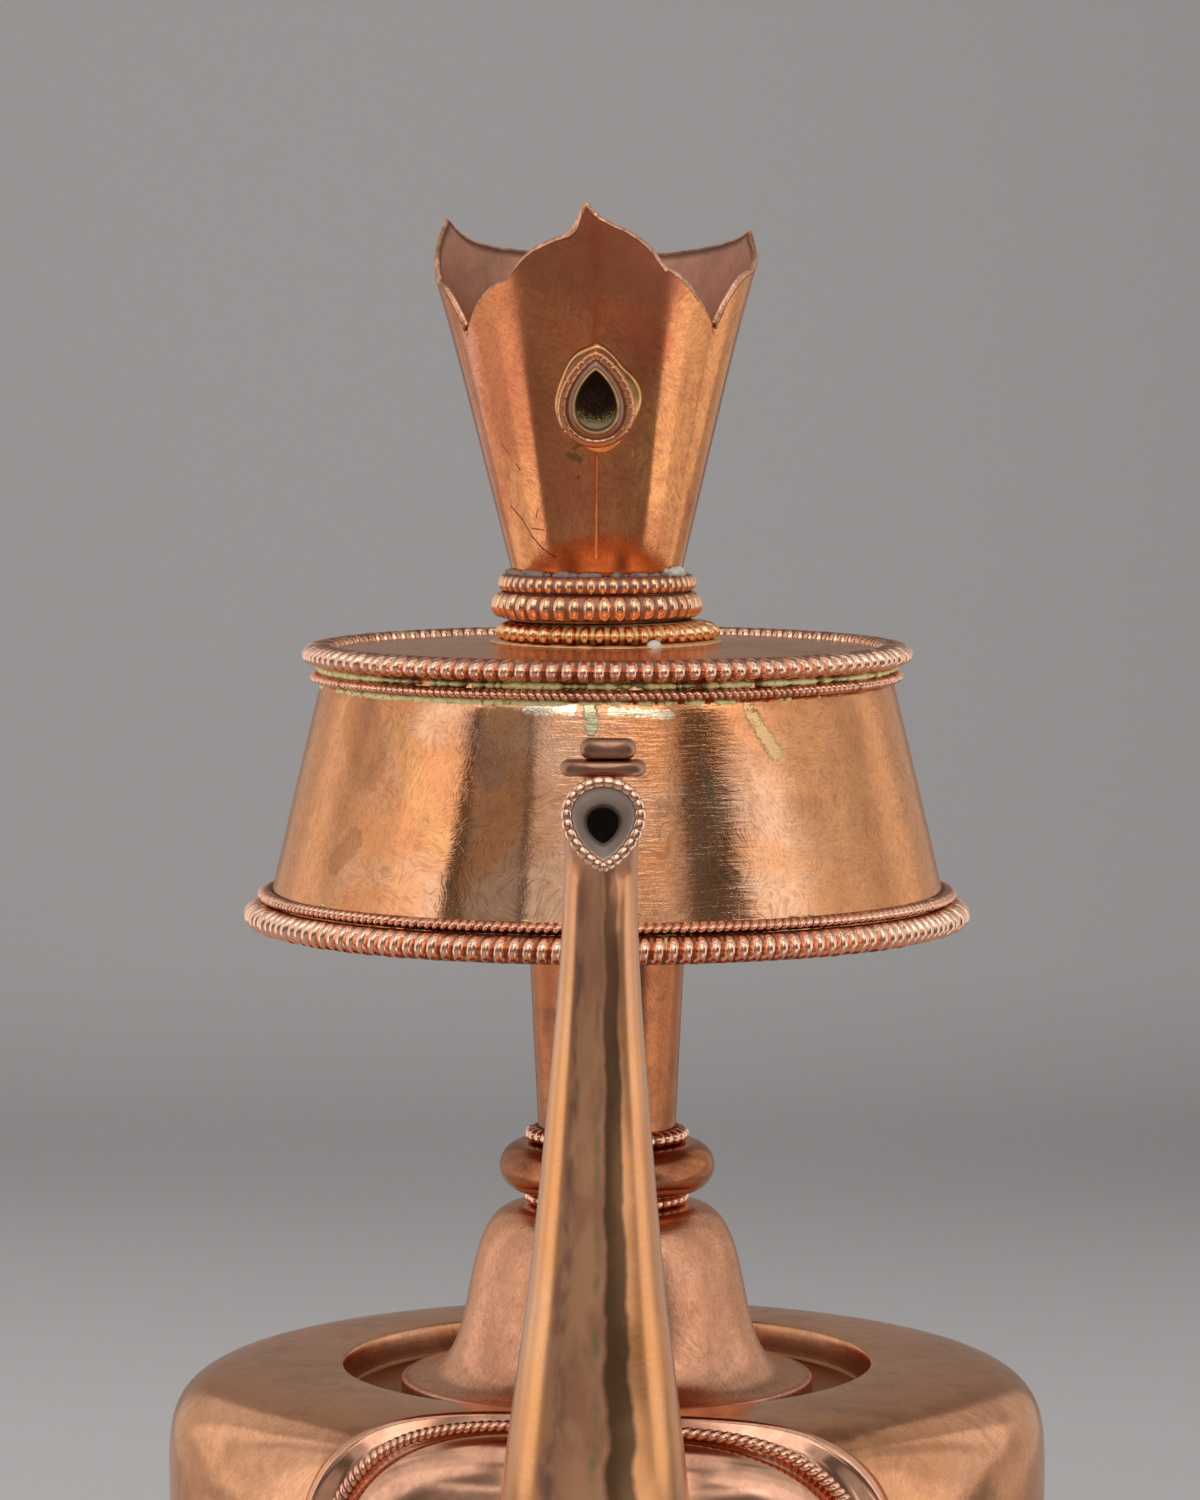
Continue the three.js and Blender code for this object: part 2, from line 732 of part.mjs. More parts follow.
// Bell, knop and neck, all hollow round one bore.
function makeNeck() {
  addPiece('neck_flange', revolveRing([
    [neckBoreRadius, recessFloor],
    [flangeRadius, recessFloor],
    [flangeRadius, bellFoot],
    [neckBoreRadius, bellFoot],
  ], broadFacets), polishedCopper);
  const waist = bellFoot + bellWaistHeight;
  const flare = (inset) => new THREE.CubicBezierCurve(
    new THREE.Vector2(bellFootRadius - inset, bellFoot),
    new THREE.Vector2(bellFootRadius - inset - bellFootReachIn, bellFoot + bellFootReachUp),
    new THREE.Vector2(bellWaistRadius - inset + bellWaistReachOut, waist - bellWaistReachDown),
    new THREE.Vector2(bellWaistRadius - inset, waist),
  );
  const shoulder = (inset) => new THREE.CubicBezierCurve(
    new THREE.Vector2(bellWaistRadius - inset, waist),
    new THREE.Vector2(bellWaistRadius - inset - bellWaistReachIn, waist + bellWaistReachUp),
    new THREE.Vector2(bellTopRadius - inset + bellTopReachOut, bellTop - inset),
    new THREE.Vector2(bellTopRadius - inset, bellTop - inset),
  );
  const outline = (inset, steps) => [
    ...flare(inset).getPoints(steps),
    ...shoulder(inset).getPoints(steps).slice(1),
  ].map((point) => [point.x, point.y]);
  addPiece('neck_bell', revolveRing([
    ...outline(0, 5),
    [neckBoreRadius, bellTop],
    [neckBoreRadius, bellTop - bodySheet],
    ...outline(bodySheet, 4).reverse(),
  ], slimFacets), polishedCopper);
  addPiece('knop_lower_wire', beadedWire({
    line: roundWall(neckRadius, bellTop + lowerKnopWireHeight / 2),
    width: lowerKnopWireHeight,
    rise: knopWireRise,
    beads: knopWireBeads,
  }), darkCopper);
  const knopMiddle = knopFoot + knopHeight / 2;
  addPiece('knop', revolveRing([
    [neckRadius + solderFilm, knopFoot],
    ...sampled(6, (t) => {
      const turn = (t - 0.5) * Math.PI;
      return [
        knopRadius - knopRound + knopRound * Math.cos(turn),
        knopMiddle + (knopHeight / 2) * Math.sin(turn),
      ];
    }),
    [neckRadius + solderFilm, knopTop],
  ], slimFacets), polishedCopper);
  addPiece('knop_upper_wire', beadedWire({
    line: roundWall(neckRadius, knopTop + upperKnopWireHeight / 2),
    width: upperKnopWireHeight,
    rise: knopWireRise,
    beads: knopWireBeads,
  }), darkCopper);
  const neckStart = knopTop + upperKnopWireHeight;
  addPiece('neck_column', revolveRing([
    [neckRadius, bellTop],
    [neckRadius, neckStart],
    [neckTopRadius, drumFoot],
    [neckTopRadius - tubeWall, drumFoot],
    [neckBoreRadius, neckStart],
    [neckBoreRadius, bellTop],
  ], slimFacets), polishedCopper);
}

// The drum's wall tapers evenly between its two plates.
const wallFoot = drumFoot + drumPlateThickness;
const wallTop = drumTop - drumPlateThickness;

function drumWallRadius(height) {
  const share = (height - wallFoot) / (wallTop - wallFoot);
  return THREE.MathUtils.lerp(drumBottomRadius, drumTopRadius, share);
}

function drumWire(name, foot, height, rise) {
  const seatRadius = drumWallRadius(Math.max(foot, wallFoot));
  addPiece(name, plainWire({ seatRadius, foot, height, rise, facets: broadFacets }), darkCopper);
}

function makeDrum() {
  addPiece('drum_underside', revolveRing([
    [neckBoreRadius, drumFoot],
    [drumBottomRadius, drumFoot],
    [drumBottomRadius, wallFoot],
    [neckBoreRadius, wallFoot],
  ], broadFacets), darkCopper);
  addPiece('drum_wall', revolveRing([
    [drumBottomRadius, wallFoot],
    [drumTopRadius, wallTop],
    [drumTopRadius - bodySheet, wallTop],
    [drumBottomRadius - bodySheet, wallFoot],
  ], broadFacets), polishedCopper);
  addPiece('drum_top_disc', revolveRing([
    [socketRadius + socketWall + solderFilm, wallTop],
    [drumTopRadius, wallTop],
    [drumTopRadius, drumTop],
    [socketRadius + socketWall + solderFilm, drumTop],
  ], broadFacets), polishedCopper);
  const lowerFoot = drumFoot - lowerWireOverhang;
  const lowerTop = lowerFoot + lowerWireHeight;
  drumWire('drum_lower_wire', lowerFoot, lowerWireHeight, lowerWireRise);
  drumWire('drum_lower_trim', lowerTop, lowerTrimHeight, lowerTrimRise);
  drumWire('drum_upper_trim', drumTop - upperTrimDrop, upperTrimHeight, upperTrimRise);
  const upperFoot = drumTop - upperWireHeight;
  drumWire('drum_upper_wire', upperFoot, upperWireHeight, upperWireRise);
}

function makeSocket() {
  const outside = socketRadius + socketWall;
  addPiece('socket_tube', revolveRing([
    [socketRadius, drumTop - socketDepth],
    [outside, drumTop - socketDepth],
    [outside, crownSeat],
    [socketRadius, crownSeat],
  ], slimFacets), darkCopper);
  addPiece('socket_beaded_ring', beadedWire({
    line: roundWall(outside, drumTop + socketRingHeight / 2),
    width: socketRingHeight,
    rise: socketRingRise,
    beads: socketRingBeads,
  }), solderedBrass);
}

function cupRadius(climb) {
  const flare = cupFlare * (climb / frontTipHeight) ** cupFlareSharpness;
  return cupFootRadius + climb * cupTaper + flare;
}

// Height of a petal's edge at an angle from its tip: a drawn-out tip, a round shoulder that ends
// in a cusp, and a round lobe that falls to the notch beside the next petal.
function petalEdge(off, { halfAngle, cuspHeight }, tipHeight) {
  if (off > petalCuspAngle) {
    const share = (off - petalCuspAngle) / (halfAngle - petalCuspAngle);
    return THREE.MathUtils.lerp(cuspHeight, petalNotchHeight, share ** petalLobeRound);
  }
  const fall = (off / petalCuspAngle) ** petalShoulderRound;
  const tip = petalTipRise * Math.exp(-off / petalTipSharpness);
  return THREE.MathUtils.lerp(tipHeight - petalTipRise, cuspHeight, fall) + tip * (1 - fall);
}

// The edge behind: it drops from a side petal's tip and hollows out towards the middle.
function rearEdge(off, { halfAngle, tipHeight }) {
  const tip = petalTipRise * Math.exp(-off / petalTipSharpness);
  const rise = (1 - off / halfAngle) ** rearEdgeHollow;
  return THREE.MathUtils.lerp(rearEdgeHeight, tipHeight - petalTipRise, rise) + tip;
}

// Angles across half a petal, closer together where its edge turns.
const halfPetal = [0, 0.027, 0.075, 0.2, 0.34, 0.43, 0.497, 0.6, 0.74, 0.86, 0.95];

// The rim to one side of the front tip, as angles from that tip with their heights: half the
// front petal, the near half of the side petal, and the start of the plain edge behind.
function halfRim(form) {
  const steps = halfPetal.map((share) => share * form.halfAngle);
  const nearPetal = steps.map((off) => [off, petalEdge(off, form, frontTipHeight)]);
  const sidePetal = steps.map((off) => [
    form.halfAngle * 2 - off,
    petalEdge(off, form, form.tipHeight),
  ]);
  const rear = steps.filter((off, i) => i % 2 === 1)
    .map((off) => [form.halfAngle * 2 + off, rearEdge(off, form)]);
  const notch = [form.halfAngle, petalNotchHeight];
  return [...nearPetal, notch, ...sidePetal.reverse(), ...rear]
    .map(([angle, height]) => [form.sign * angle, height]);
}

function cupRim() {
  const right = halfRim({
    sign: 1,
    halfAngle: rightHalfAngle,
    cuspHeight: rightCuspHeight,
    tipHeight: rightTipHeight,
  });
  const left = halfRim({
    sign: -1,
    halfAngle: leftHalfAngle,
    cuspHeight: leftCuspHeight,
    tipHeight: leftTipHeight,
  });
  return [...right, [Math.PI, rearEdgeHeight], ...left.slice(1).reverse()];
}

// A point of the cup's wall, which leans a little to the left.
function cupPoint(angle, climb, inset) {
  const radius = cupRadius(climb) - inset;
  const lean = (cupLean * climb) / frontTipHeight;
  return new THREE.Vector3(
    radius * Math.sin(angle) - lean,
    -radius * Math.cos(angle),
    cupFoot + climb,
  );
}

// A small hole drilled through the wall at the foot of a notch, as a cutter.
function notchDrill(angle) {
  const drill = new THREE.CylinderGeometry(
    notchHoleDiameter / 2,
    notchHoleDiameter / 2,
    notchHoleDiameter * 4,
    8,
  );
  drill.rotateZ(angle);
  drill.translate(...cupPoint(angle, petalNotchHeight - notchHoleDrop, cupSheet / 2).toArray());
  return toSolid(closed(drill));
}

function makeCrown() {
  addPiece('crown_stem', revolveRing([
    [crownStemBore, crownSeat - crownStemLength],
    [crownStemRadius, crownSeat - crownStemLength],
    [crownStemRadius, cupFoot],
    [crownStemBore, cupFoot],
  ], slimFacets), darkCopper, crown);
  addPiece('crown_collar', revolveRing([
    [crownStemRadius + solderFilm, crownSeat],
    [crownCollarRadius, crownSeat],
    [crownCollarRadius, cupFoot],
    [crownStemRadius + solderFilm, cupFoot],
  ], slimFacets), darkCopper, crown);
  const middleFoot = crownSeat + middleWireLift;
  addPiece('crown_middle_wire', beadedWire({
    line: roundWall(crownCollarRadius, middleFoot + middleWireHeight / 2),
    width: middleWireHeight,
    rise: middleWireRise,
    beads: middleWireBeads,
  }), darkCopper, crown);
  const topFoot = middleFoot + middleWireHeight;
  addPiece('crown_top_wire', beadedWire({
    line: roundWall(crownCollarRadius, topFoot + topWireHeight / 2),
    width: topWireHeight,
    rise: topWireRise,
    beads: topWireBeads,
  }), darkCopper, crown);
  const levels = [0, 0.35, 0.7, 1];
  const rings = cupRim().map(([angle, rim]) => {
    const outer = levels.map((level) => cupPoint(petalTurn + angle, rim * level, 0));
    const inner = levels.map((level) => cupPoint(petalTurn + angle, rim * level, cupSheet));
    return [...outer, ...inner.reverse()];
  });
  const cup = toSolid(loft(rings, true))
    .subtract(notchDrill(petalTurn + rightHalfAngle))
    .subtract(notchDrill(petalTurn - leftHalfAngle));
  addPiece('crown_cup', fromSolid(cup), polishedCopper, crown);
}

// A flat teardrop plate or collar, its point up, standing out along +Z of its own group.
function teardropShape(width, length) {
  const points = sampled(20, (t) => teardrop(t, width, length, gemPoint));
  return points.slice(0, -1);
}

function makeGemSetting() {
  const seat = cupPoint(gemTurn, gemHeight, 0);
  const up = cupPoint(gemTurn, gemHeight + 1, 0).sub(seat).normalize();
  const side = new THREE.Vector3(Math.cos(gemTurn), Math.sin(gemTurn), 0);
  const out = side.clone().cross(up);
  const setting = new THREE.Group();
  setting.quaternion.setFromRotationMatrix(new THREE.Matrix4().makeBasis(side, up, out));
  setting.position.copy(seat).addScaledVector(out, cutGap);
  crown.add(setting);
  const plate = new THREE.ExtrudeGeometry(
    new THREE.Shape(teardropShape(gemPlateWidth, gemPlateLength)),
    { depth: gemPlateThickness, bevelEnabled: false },
  );
  addPiece('gem_plate', closed(plate), solderedBrass, setting);
  const face = gemPlateThickness + cutGap;
  const ropeWidth = gemPlateWidth - gemRopeInset - gemRopeWidth;
  const ropeLength = gemPlateLength - gemRopeInset - gemRopeWidth;
  const place = (share) => {
    const flat = teardrop(share, ropeWidth, ropeLength, gemPoint);
    return new THREE.Vector3(flat.x, flat.y, face);
  };
  addPiece('gem_rope', beadedWire({
    line: (share) => {
      const along = place(share + nearby).sub(place(share - nearby)).normalize();
      const away = new THREE.Vector3(0, 0, 1);
      return { point: place(share), out: away, across: along.cross(away) };
    },
    width: gemRopeWidth,
    rise: gemRopeRise,
    beads: gemRopeBeads,
  }), darkCopper, setting);
  const outside = teardropShape(gemBezelWidth, gemBezelLength);
  const inside = teardropShape(
    gemBezelWidth - gemBezelWall * 2,
    gemBezelLength - gemBezelPointWall * 2,
  );
  const bezel = loft(outside.map((edge, i) => [
    new THREE.Vector3(edge.x, edge.y, face),
    new THREE.Vector3(edge.x, edge.y, face + gemBezelHeight),
    new THREE.Vector3(inside[i].x, inside[i].y, face + gemBezelHeight),
    new THREE.Vector3(inside[i].x, inside[i].y, face),
  ]), true);
  addPiece('gem_bezel', bezel, solderedBrass, setting);
}

makeFoot();
makeBellyAndSpout();
makeMedallionRope();
makeMouth();
makeFinial();
makeNeck();
makeDrum();
makeSocket();
makeCrown();
makeGemSetting();

export default vase;
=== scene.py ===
import math

import bmesh
import bpy
import numpy as np
from mathutils import Matrix, Vector


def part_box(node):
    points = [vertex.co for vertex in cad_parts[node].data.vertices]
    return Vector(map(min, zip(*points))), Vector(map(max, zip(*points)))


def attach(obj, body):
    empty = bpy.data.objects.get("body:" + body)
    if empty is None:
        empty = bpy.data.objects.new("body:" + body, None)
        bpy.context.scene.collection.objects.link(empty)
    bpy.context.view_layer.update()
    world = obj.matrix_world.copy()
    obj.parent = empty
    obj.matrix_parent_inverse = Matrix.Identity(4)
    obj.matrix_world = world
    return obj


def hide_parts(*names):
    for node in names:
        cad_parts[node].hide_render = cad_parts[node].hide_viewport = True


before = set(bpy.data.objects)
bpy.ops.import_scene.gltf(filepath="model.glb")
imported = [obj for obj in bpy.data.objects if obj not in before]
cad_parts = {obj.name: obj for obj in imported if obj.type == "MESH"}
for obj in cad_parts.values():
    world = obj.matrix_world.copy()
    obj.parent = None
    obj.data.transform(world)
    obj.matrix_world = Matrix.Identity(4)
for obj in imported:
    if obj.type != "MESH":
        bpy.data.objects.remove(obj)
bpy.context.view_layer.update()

MM = 0.001
FULL_TURN = math.tau
rng = np.random.default_rng(7)

# Camera: the photograph's pinhole, in front of the vase and looking a little down.
CAMERA_DISTANCE = 702.4
CAMERA_HEIGHT = 208.7
CAMERA_SIDE = -0.83
CAMERA_PITCH = math.radians(4.555)
CAMERA_LENS = 141.6

# Thickness of the sheets, and the steps round a turned mesh.
BODY_SHEET = 1.2
NECK_SHEET = 0.9
DISC_SHEET = 1.0
SOCKET_SHEET = 1.0
STEM_SHEET = 0.9
CUP_SHEET = 0.8
ROUND_STEPS = 256

# Drum: how far its disc is sunk and set in at its rim, and how its wall rolls in below the trim
# and bows in the middle.
DISC_DISH = 0.9
ROLL_FOOT = 159.4
ROLL_BEND = 0.045
DRUM_BOW = 0.075
DISC_RIM_INSET = 0.4

# Belly.
EQUATOR = 65.0
BELLY_RADIUS = 52.7
BELLY_LOWER_CENTRE = 12.0
BELLY_LOWER_HEIGHT = 46.4
BELLY_SEAM = 34.0
WAIST_RADIUS = 17.5
SHOULDER_HEIGHT = 14.1
SHOULDER_SQUARENESS = 4.0
RECESS_RADIUS = 31.8
RECESS_WALL_RADIUS = 31.2
RECESS_WALL_SLOPE = 0.158

# Bell: its line sweeps in from the foot, stands up at the waist and turns over into a flat top.
BELL_FOOT_RADIUS = 23.9
BELL_WAIST_RADIUS = 16.6
BELL_WAIST_HEIGHT = 10.0
BELL_TOP_RADIUS = 10.2
NECK_BORE_RADIUS = 7.4

# Crown.
CROWN_SHIFT = 1.2
CUP_FOOT_RADIUS = 10.1
CUP_TAPER = 0.2415
CUP_FLARE = 1.2
CUP_LEAN = 0.4
CUP_SKIN_RADIUS = CUP_FOOT_RADIUS + 25 * CUP_TAPER
CUP_DULL_FROM, CUP_DULL_OVER = 24, 10
CUP_BEVEL = 0.62
CUP_INSIDE_ROWS = 40
CUP_INSIDE_SKIN_SHIFT = 90
PETAL_TURN = math.radians(-2.5)
LEFT_HALF_PETAL = math.radians(59.3)
RIGHT_HALF_PETAL = math.radians(57.0)
FRONT_TIP = 43.9
LEFT_NOTCH = 29.3
RIGHT_NOTCH = 29.6
NOTCH_HOLE_RADIUS = 0.55
NOTCH_HOLE_DROP = 0.35

# A flank runs from its cusp up to the tip: the cusp's angle off the tip and its height, the
# flank's rise and fullness, and the drawn-out point's rise and its reach in degrees.
FLANKS = {
    "front_left": (math.radians(30.2), 35.0, 4.8, 2.8, 4.2, math.radians(3.2)),
    "front_right": (math.radians(28.8), 36.5, 5.0, 2.3, 2.4, math.radians(4.0)),
    "left": (math.radians(29.8), 34.9, 6.2, 1.5, 1.2, math.radians(4.0)),
    "right": (math.radians(29.8), 36.2, 3.4, 1.5, 1.2, math.radians(4.0)),
}
LOBE_FULLNESS = {"front_left": 1.6, "front_right": 1.35, "left": 3.5, "right": 3.0}
TIP_ROUND = math.radians(1.5)
REAR_EDGE = 37.8
LEFT_REAR = (2.2, 1.6, 2.2, math.radians(4.5))
RIGHT_REAR = (2.5, 1.9, 0.5, math.radians(4.0))

# Stone setting: its turn and height on the cup, how pointed its openings and its plate are, the
# sizes of its pieces, and the cup's width behind it.
GEM_TURN = math.radians(0.3)
GEM_HEIGHT = 21.4
GEM_POINT = 0.6
PLATE_POINT = 0.32
PLATE_WIDTH, PLATE_LENGTH = 9.2, 12.4
BEZEL_WIDTH, BEZEL_LENGTH = 5.4, 7.9
BED_WIDTH, BED_LENGTH = 4.75, 6.95
CUP_WIDTH_AT_STONE = 30.6

# Spout: forward of the belly's side, above its widest line, and the tube's diameter.
SPOUT_STATIONS = [
    (-7.0, -9.0, 26.6),
    (6.0, -5.2, 24.6),
    (17.6, 2.0, 22.6),
    (25.0, 12.5, 20.6),
    (28.4, 24.4, 17.8),
    (30.9, 35.9, 14.8),
    (33.9, 47.1, 12.6),
    (37.4, 58.2, 10.6),
    (40.2, 69.2, 8.8),
    (42.0, 78.0, 7.8),
    (44.2, 84.2, 7.6),
    (47.4, 87.6, 7.7),
    (51.7, 88.4, 8.0),
]
SPOUT_ROOT_SHIFT = 1.7
SPOUT_MOUTH_SHIFT = 0.5
SPOUT_WALL = 0.8
SPOUT_SKIN_WIDTH = 25.0
SPOUT_BROWN_FROM = 90.0
MOUTH_FUNNEL_DEPTH = 0.03
MOUTH_FUNNEL_STEP = 1.5
MOUTH_STRETCH = 1.15
MOUTH_POINT = 0.55
MOUTH_TAPER = 10.0

# Medallion.
MEDALLION_DROP = 5.8
MEDALLION_SHIFT = 1.3
MEDALLION_TILT = math.radians(-4.0)
MEDALLION_HALF_WIDTH = 32.0
MEDALLION_HALF_HEIGHT = 21.5
MEDALLION_ROUNDNESS = 2.65

# Screens beside the vase: where each upright strip starts and ends, in metres behind the front
# edge, and its brightness.
SCREEN_STRIPS = [(0.0, 0.1, 1.05), (0.1, 0.2, 0.7), (0.2, 0.34, 0.45)]
REAR_SCREEN = 0.38


# Mesh helpers.

def span(node):
    """The lowest and highest corner of a CAD node, in millimetres."""
    low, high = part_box(node)
    return [v / MM for v in low], [v / MM for v in high]


def foot_of(node):
    return span(node)[0][2]


def top_of(node):
    return span(node)[1][2]


def radius_of(node):
    low, high = span(node)
    return (high[0] - low[0]) / 2


def round_axis(radius, angle, height, axis_x=0.0):
    """Points at an angle off the front, round the vase's axis or round one beside it."""
    return np.stack(np.broadcast_arrays(radius * np.sin(angle) + axis_x,
                                        -radius * np.cos(angle), height), axis=-1)


def square_ring(inner, outer, foot, top):
    """The profile of a ring with square corners."""
    return [(inner, foot), (outer, foot), (outer, top), (inner, top)]


def wire_rows(line, out, width, rise, lift, turns, swell_at):
    """Rows of points of a wire along a closed line, lifted outward, as thick at each turn round
    its section as the swell there says."""
    side = np.cross(np.roll(line, -1, axis=0) - np.roll(line, 1, axis=0), out)
    side /= np.linalg.norm(side, axis=1)[:, None]
    rows = []
    for turn in np.linspace(0, FULL_TURN, turns, endpoint=False):
        swell = swell_at(turn)[:, None]
        rows.append(line + side * math.cos(turn) * width / 2 * swell
                    + out * (math.sin(turn) * rise / 2 * swell + lift))
    return rows


def make_mesh(name, points, faces, marks=None, skin=None):
    """A smooth mesh from points in millimetres, with named marks between 0 and 1 at its points.
    The skin gives each face's corners their places on the sheet laid flat, in millimetres."""
    mesh = bpy.data.meshes.new(name)
    mesh.from_pydata((np.asarray(points, float) * MM).tolist(), [], faces)
    for label, values in (marks or {}).items():
        layer = mesh.attributes.new(label, "FLOAT", "POINT")
        layer.data.foreach_set("value", np.asarray(values, np.float32))
    if skin is not None:
        layer = mesh.attributes.new("skin", "FLOAT_VECTOR", "CORNER")
        layer.data.foreach_set("vector", np.asarray(skin, np.float32).reshape(-1))
    work = bmesh.new()
    work.from_mesh(mesh)
    bmesh.ops.remove_doubles(work, verts=work.verts, dist=1e-7)
    bmesh.ops.recalc_face_normals(work, faces=work.faces)
    work.to_mesh(mesh)
    work.free()
    mesh.shade_smooth()
    piece = bpy.data.objects.new(name, mesh)
    bpy.context.scene.collection.objects.link(piece)
    return piece


def grid_faces(rows, columns, rows_close, columns_close):
    faces = []
    for i in range(rows if rows_close else rows - 1):
        here = i * columns
        after = ((i + 1) % rows) * columns
        for j in range(columns if columns_close else columns - 1):
            k = (j + 1) % columns
            faces.append((here + j, here + k, after + k, after + j))
    return faces


def make_grid(name, grid, rows_close=True, columns_close=True, marks=None, skin=None):
    """A mesh over rows of points that may close on themselves either way. The skin is a pair of
    lengths, across and along, each one longer than the faces are many that way."""
    grid = np.asarray(grid, float)
    rows, columns = grid.shape[:2]
    faces = grid_faces(rows, columns, rows_close, columns_close)
    flat = {label: np.broadcast_to(values, (rows, columns)).reshape(-1)
            for label, values in (marks or {}).items()}
    if skin is not None:
        across, along = np.broadcast_arrays(*skin)
        flat_place = np.stack([across, along, 0 * along], axis=-1)
        skin = np.stack([flat_place[:-1, :-1], flat_place[:-1, 1:], flat_place[1:, 1:],
                         flat_place[1:, :-1]], axis=2)
    return make_mesh(name, grid.reshape(-1, 3), faces, flat, skin)


def lengths_along(line):
    """The length from a line's first point to each of its points."""
    steps = np.linalg.norm(np.diff(np.asarray(line, float), axis=0), axis=1)
    return np.concatenate([[0], np.cumsum(steps)])


def rounded(profile, corner):
    """The closed profile with its sharp corners turned into small arcs."""
    count = len(profile)
    points = []
    for i in range(count):
        before, here, after = (np.array(profile[(i + k) % count], float) for k in (-1, 0, 1))
        back, ahead = before - here, after - here
        reach = min(corner, 0.45 * np.linalg.norm(back), 0.45 * np.linalg.norm(ahead))
        back /= np.linalg.norm(back)
        ahead /= np.linalg.norm(ahead)
        if back @ ahead < -0.97:
            points.append(here)
            continue
        for t in np.linspace(0, 1, 5):
            start, end = here + back * reach, here + ahead * reach
            points.append(start * (1 - t) ** 2 + here * 2 * t * (1 - t) + end * t ** 2)
    return points


def turned(name, profile, corner=0.25, steps=ROUND_STEPS, wobble=0.0, axis_x=0.0, marks=None):
    """A closed profile of radius and height turned round the vase's axis, a hair out of true."""
    line = np.array(rounded(profile, corner)) if corner else np.array(profile, float)
    angles = np.linspace(-math.pi, math.pi, steps, endpoint=False)
    turn = rng.uniform(0, FULL_TURN, 3)
    out = sum(np.sin(angles * (k + 2) + turn[k]) / (k + 1) for k in range(3)) * wobble
    radius = line[:, :1] + out[None, :] * (line[:, :1] > 1)
    grid = round_axis(radius, angles, line[:, 1:], axis_x)
    across = np.linspace(-math.pi, math.pi, steps + 1) * line[:, 0].max()
    skin = across[None, :], lengths_along([*line, line[0]])[:, None]
    marks = {label: shown(line[:, :1], line[:, 1:]) for label, shown in (marks or {}).items()}
    return make_grid(name, grid, marks=marks, skin=skin)


def beaded_ring(name, seat, foot, height, rise, beads, fill=0.7, share=0.95, fullness=3.0,
                steps=12, section=16, axis_x=0.0, lean=0.0, uneven=0.05, back=0.0):
    """A beaded wire round a wall: beads that take a share of their pitch stand out of grooves
    filled to a level with dirt or solder. A wire that stands free behind reaches back from its
    seat, with beads on that side as well."""
    place = np.arange(beads * steps) / steps
    size = 1 - np.abs(rng.normal(0, uneven, beads))[np.floor(place).astype(int)]
    off = np.abs(place % 1 - 0.5) * 2 / share
    bead = (0.3 + 0.7 * np.sqrt(np.clip(1 - off ** fullness, 0, None))) * size
    turn = np.linspace(0.02, 0.98, section) * np.pi
    if back:
        turn = np.concatenate([turn, turn[1:-1] + np.pi])
    out = np.abs(np.sin(turn)) ** 0.75 * np.where(turn < np.pi, rise, -back)
    up = -np.cos(turn)
    ground = fill + (0.98 - fill) * np.abs(up) ** 8
    reach = np.maximum(bead[None, :], ground[:, None])
    shown = np.clip((bead[None, :] - ground[:, None]) * 2 / (1 - fill), 0, 1)
    # Painted shade: the crest mark is held back on the lower half of each bead, so that the beads'
    # undersides take the flank and groove colours.
    shown = shown * np.interp(up, (-0.5, 0.15), (0.45, 1.0))[:, None]
    if not back:
        out = np.append(out, [-0.12 * rise, -0.12 * rise])
        up = np.append(up, [0.7, -0.7])
        reach = np.pad(reach, ((0, 2), (0, 0)), constant_values=1)
        shown = np.pad(shown, ((0, 2), (0, 0)))
    radius = seat + out[:, None] * reach
    level = foot + height / 2 + up[:, None] * height / 2 * reach
    angle = (place / beads * FULL_TURN)[None, :] + lean * up[:, None] * FULL_TURN / beads
    return make_grid(name, round_axis(radius, angle, level, axis_x), marks={"crest": shown})


def curve_point(points, t):
    """A point of a smooth line through some points, t from 0 to 1."""
    last = len(points) - 1
    i = min(int(t * last), last - 1)
    share = t * last - i
    p1, p2 = points[i], points[i + 1]
    p0 = points[i - 1] if i > 0 else 2 * p1 - p2
    p3 = points[i + 2] if i + 2 <= last else 2 * p2 - p1
    steps = [max(np.linalg.norm(b - a), 1e-9) ** 0.5 for a, b in ((p0, p1), (p1, p2), (p2, p3))]
    t1 = ((p1 - p0) / steps[0] - (p2 - p0) / (steps[0] + steps[1]) + (p2 - p1) / steps[1])
    t2 = ((p2 - p1) / steps[1] - (p3 - p1) / (steps[1] + steps[2]) + (p3 - p2) / steps[2])
    t1, t2 = t1 * steps[1], t2 * steps[1]
    c2 = -3 * p1 + 3 * p2 - 2 * t1 - t2
    c3 = 2 * p1 - 2 * p2 + t1 + t2
    return p1 + t1 * share + c2 * share ** 2 + c3 * share ** 3


def teardrop(share, width, length, point):
    """A teardrop in a plane, drawn to a point at +Y, or at -Y for a negative length."""
    angle = share * FULL_TURN
    widest = (2 * ((1 + point) / (2 + point)) ** ((1 + point) / 2)) / math.sqrt(2 + point)
    across = np.sin(angle) * np.abs(np.sin(angle / 2)) ** point * width / widest / 2
    return across, np.cos(angle) * length / 2


# Finishes.

def add(tree, kind, settings=None, inputs=None):
    """A shader node. An input is a plain value, a colour of three numbers, or the output of
    another node."""
    made = tree.nodes.new(kind)
    for key, value in (settings or {}).items():
        setattr(made, key, value)
    for key, value in (inputs or {}).items():
        socket = made.inputs[key]
        if isinstance(value, bpy.types.NodeSocket):
            tree.links.new(value, socket)
        else:
            socket.default_value = (*value, 1) if socket.type == "RGBA" else value
    return made


def maths(tree, operation, first, second=0.0, clamp=False):
    settings = {"operation": operation, "use_clamp": clamp}
    return add(tree, "ShaderNodeMath", settings, {0: first, 1: second}).outputs[0]


def plus(tree, first, second, clamp=False):
    return maths(tree, "ADD", first, second, clamp)


def minus(tree, first, second):
    return maths(tree, "SUBTRACT", first, second)


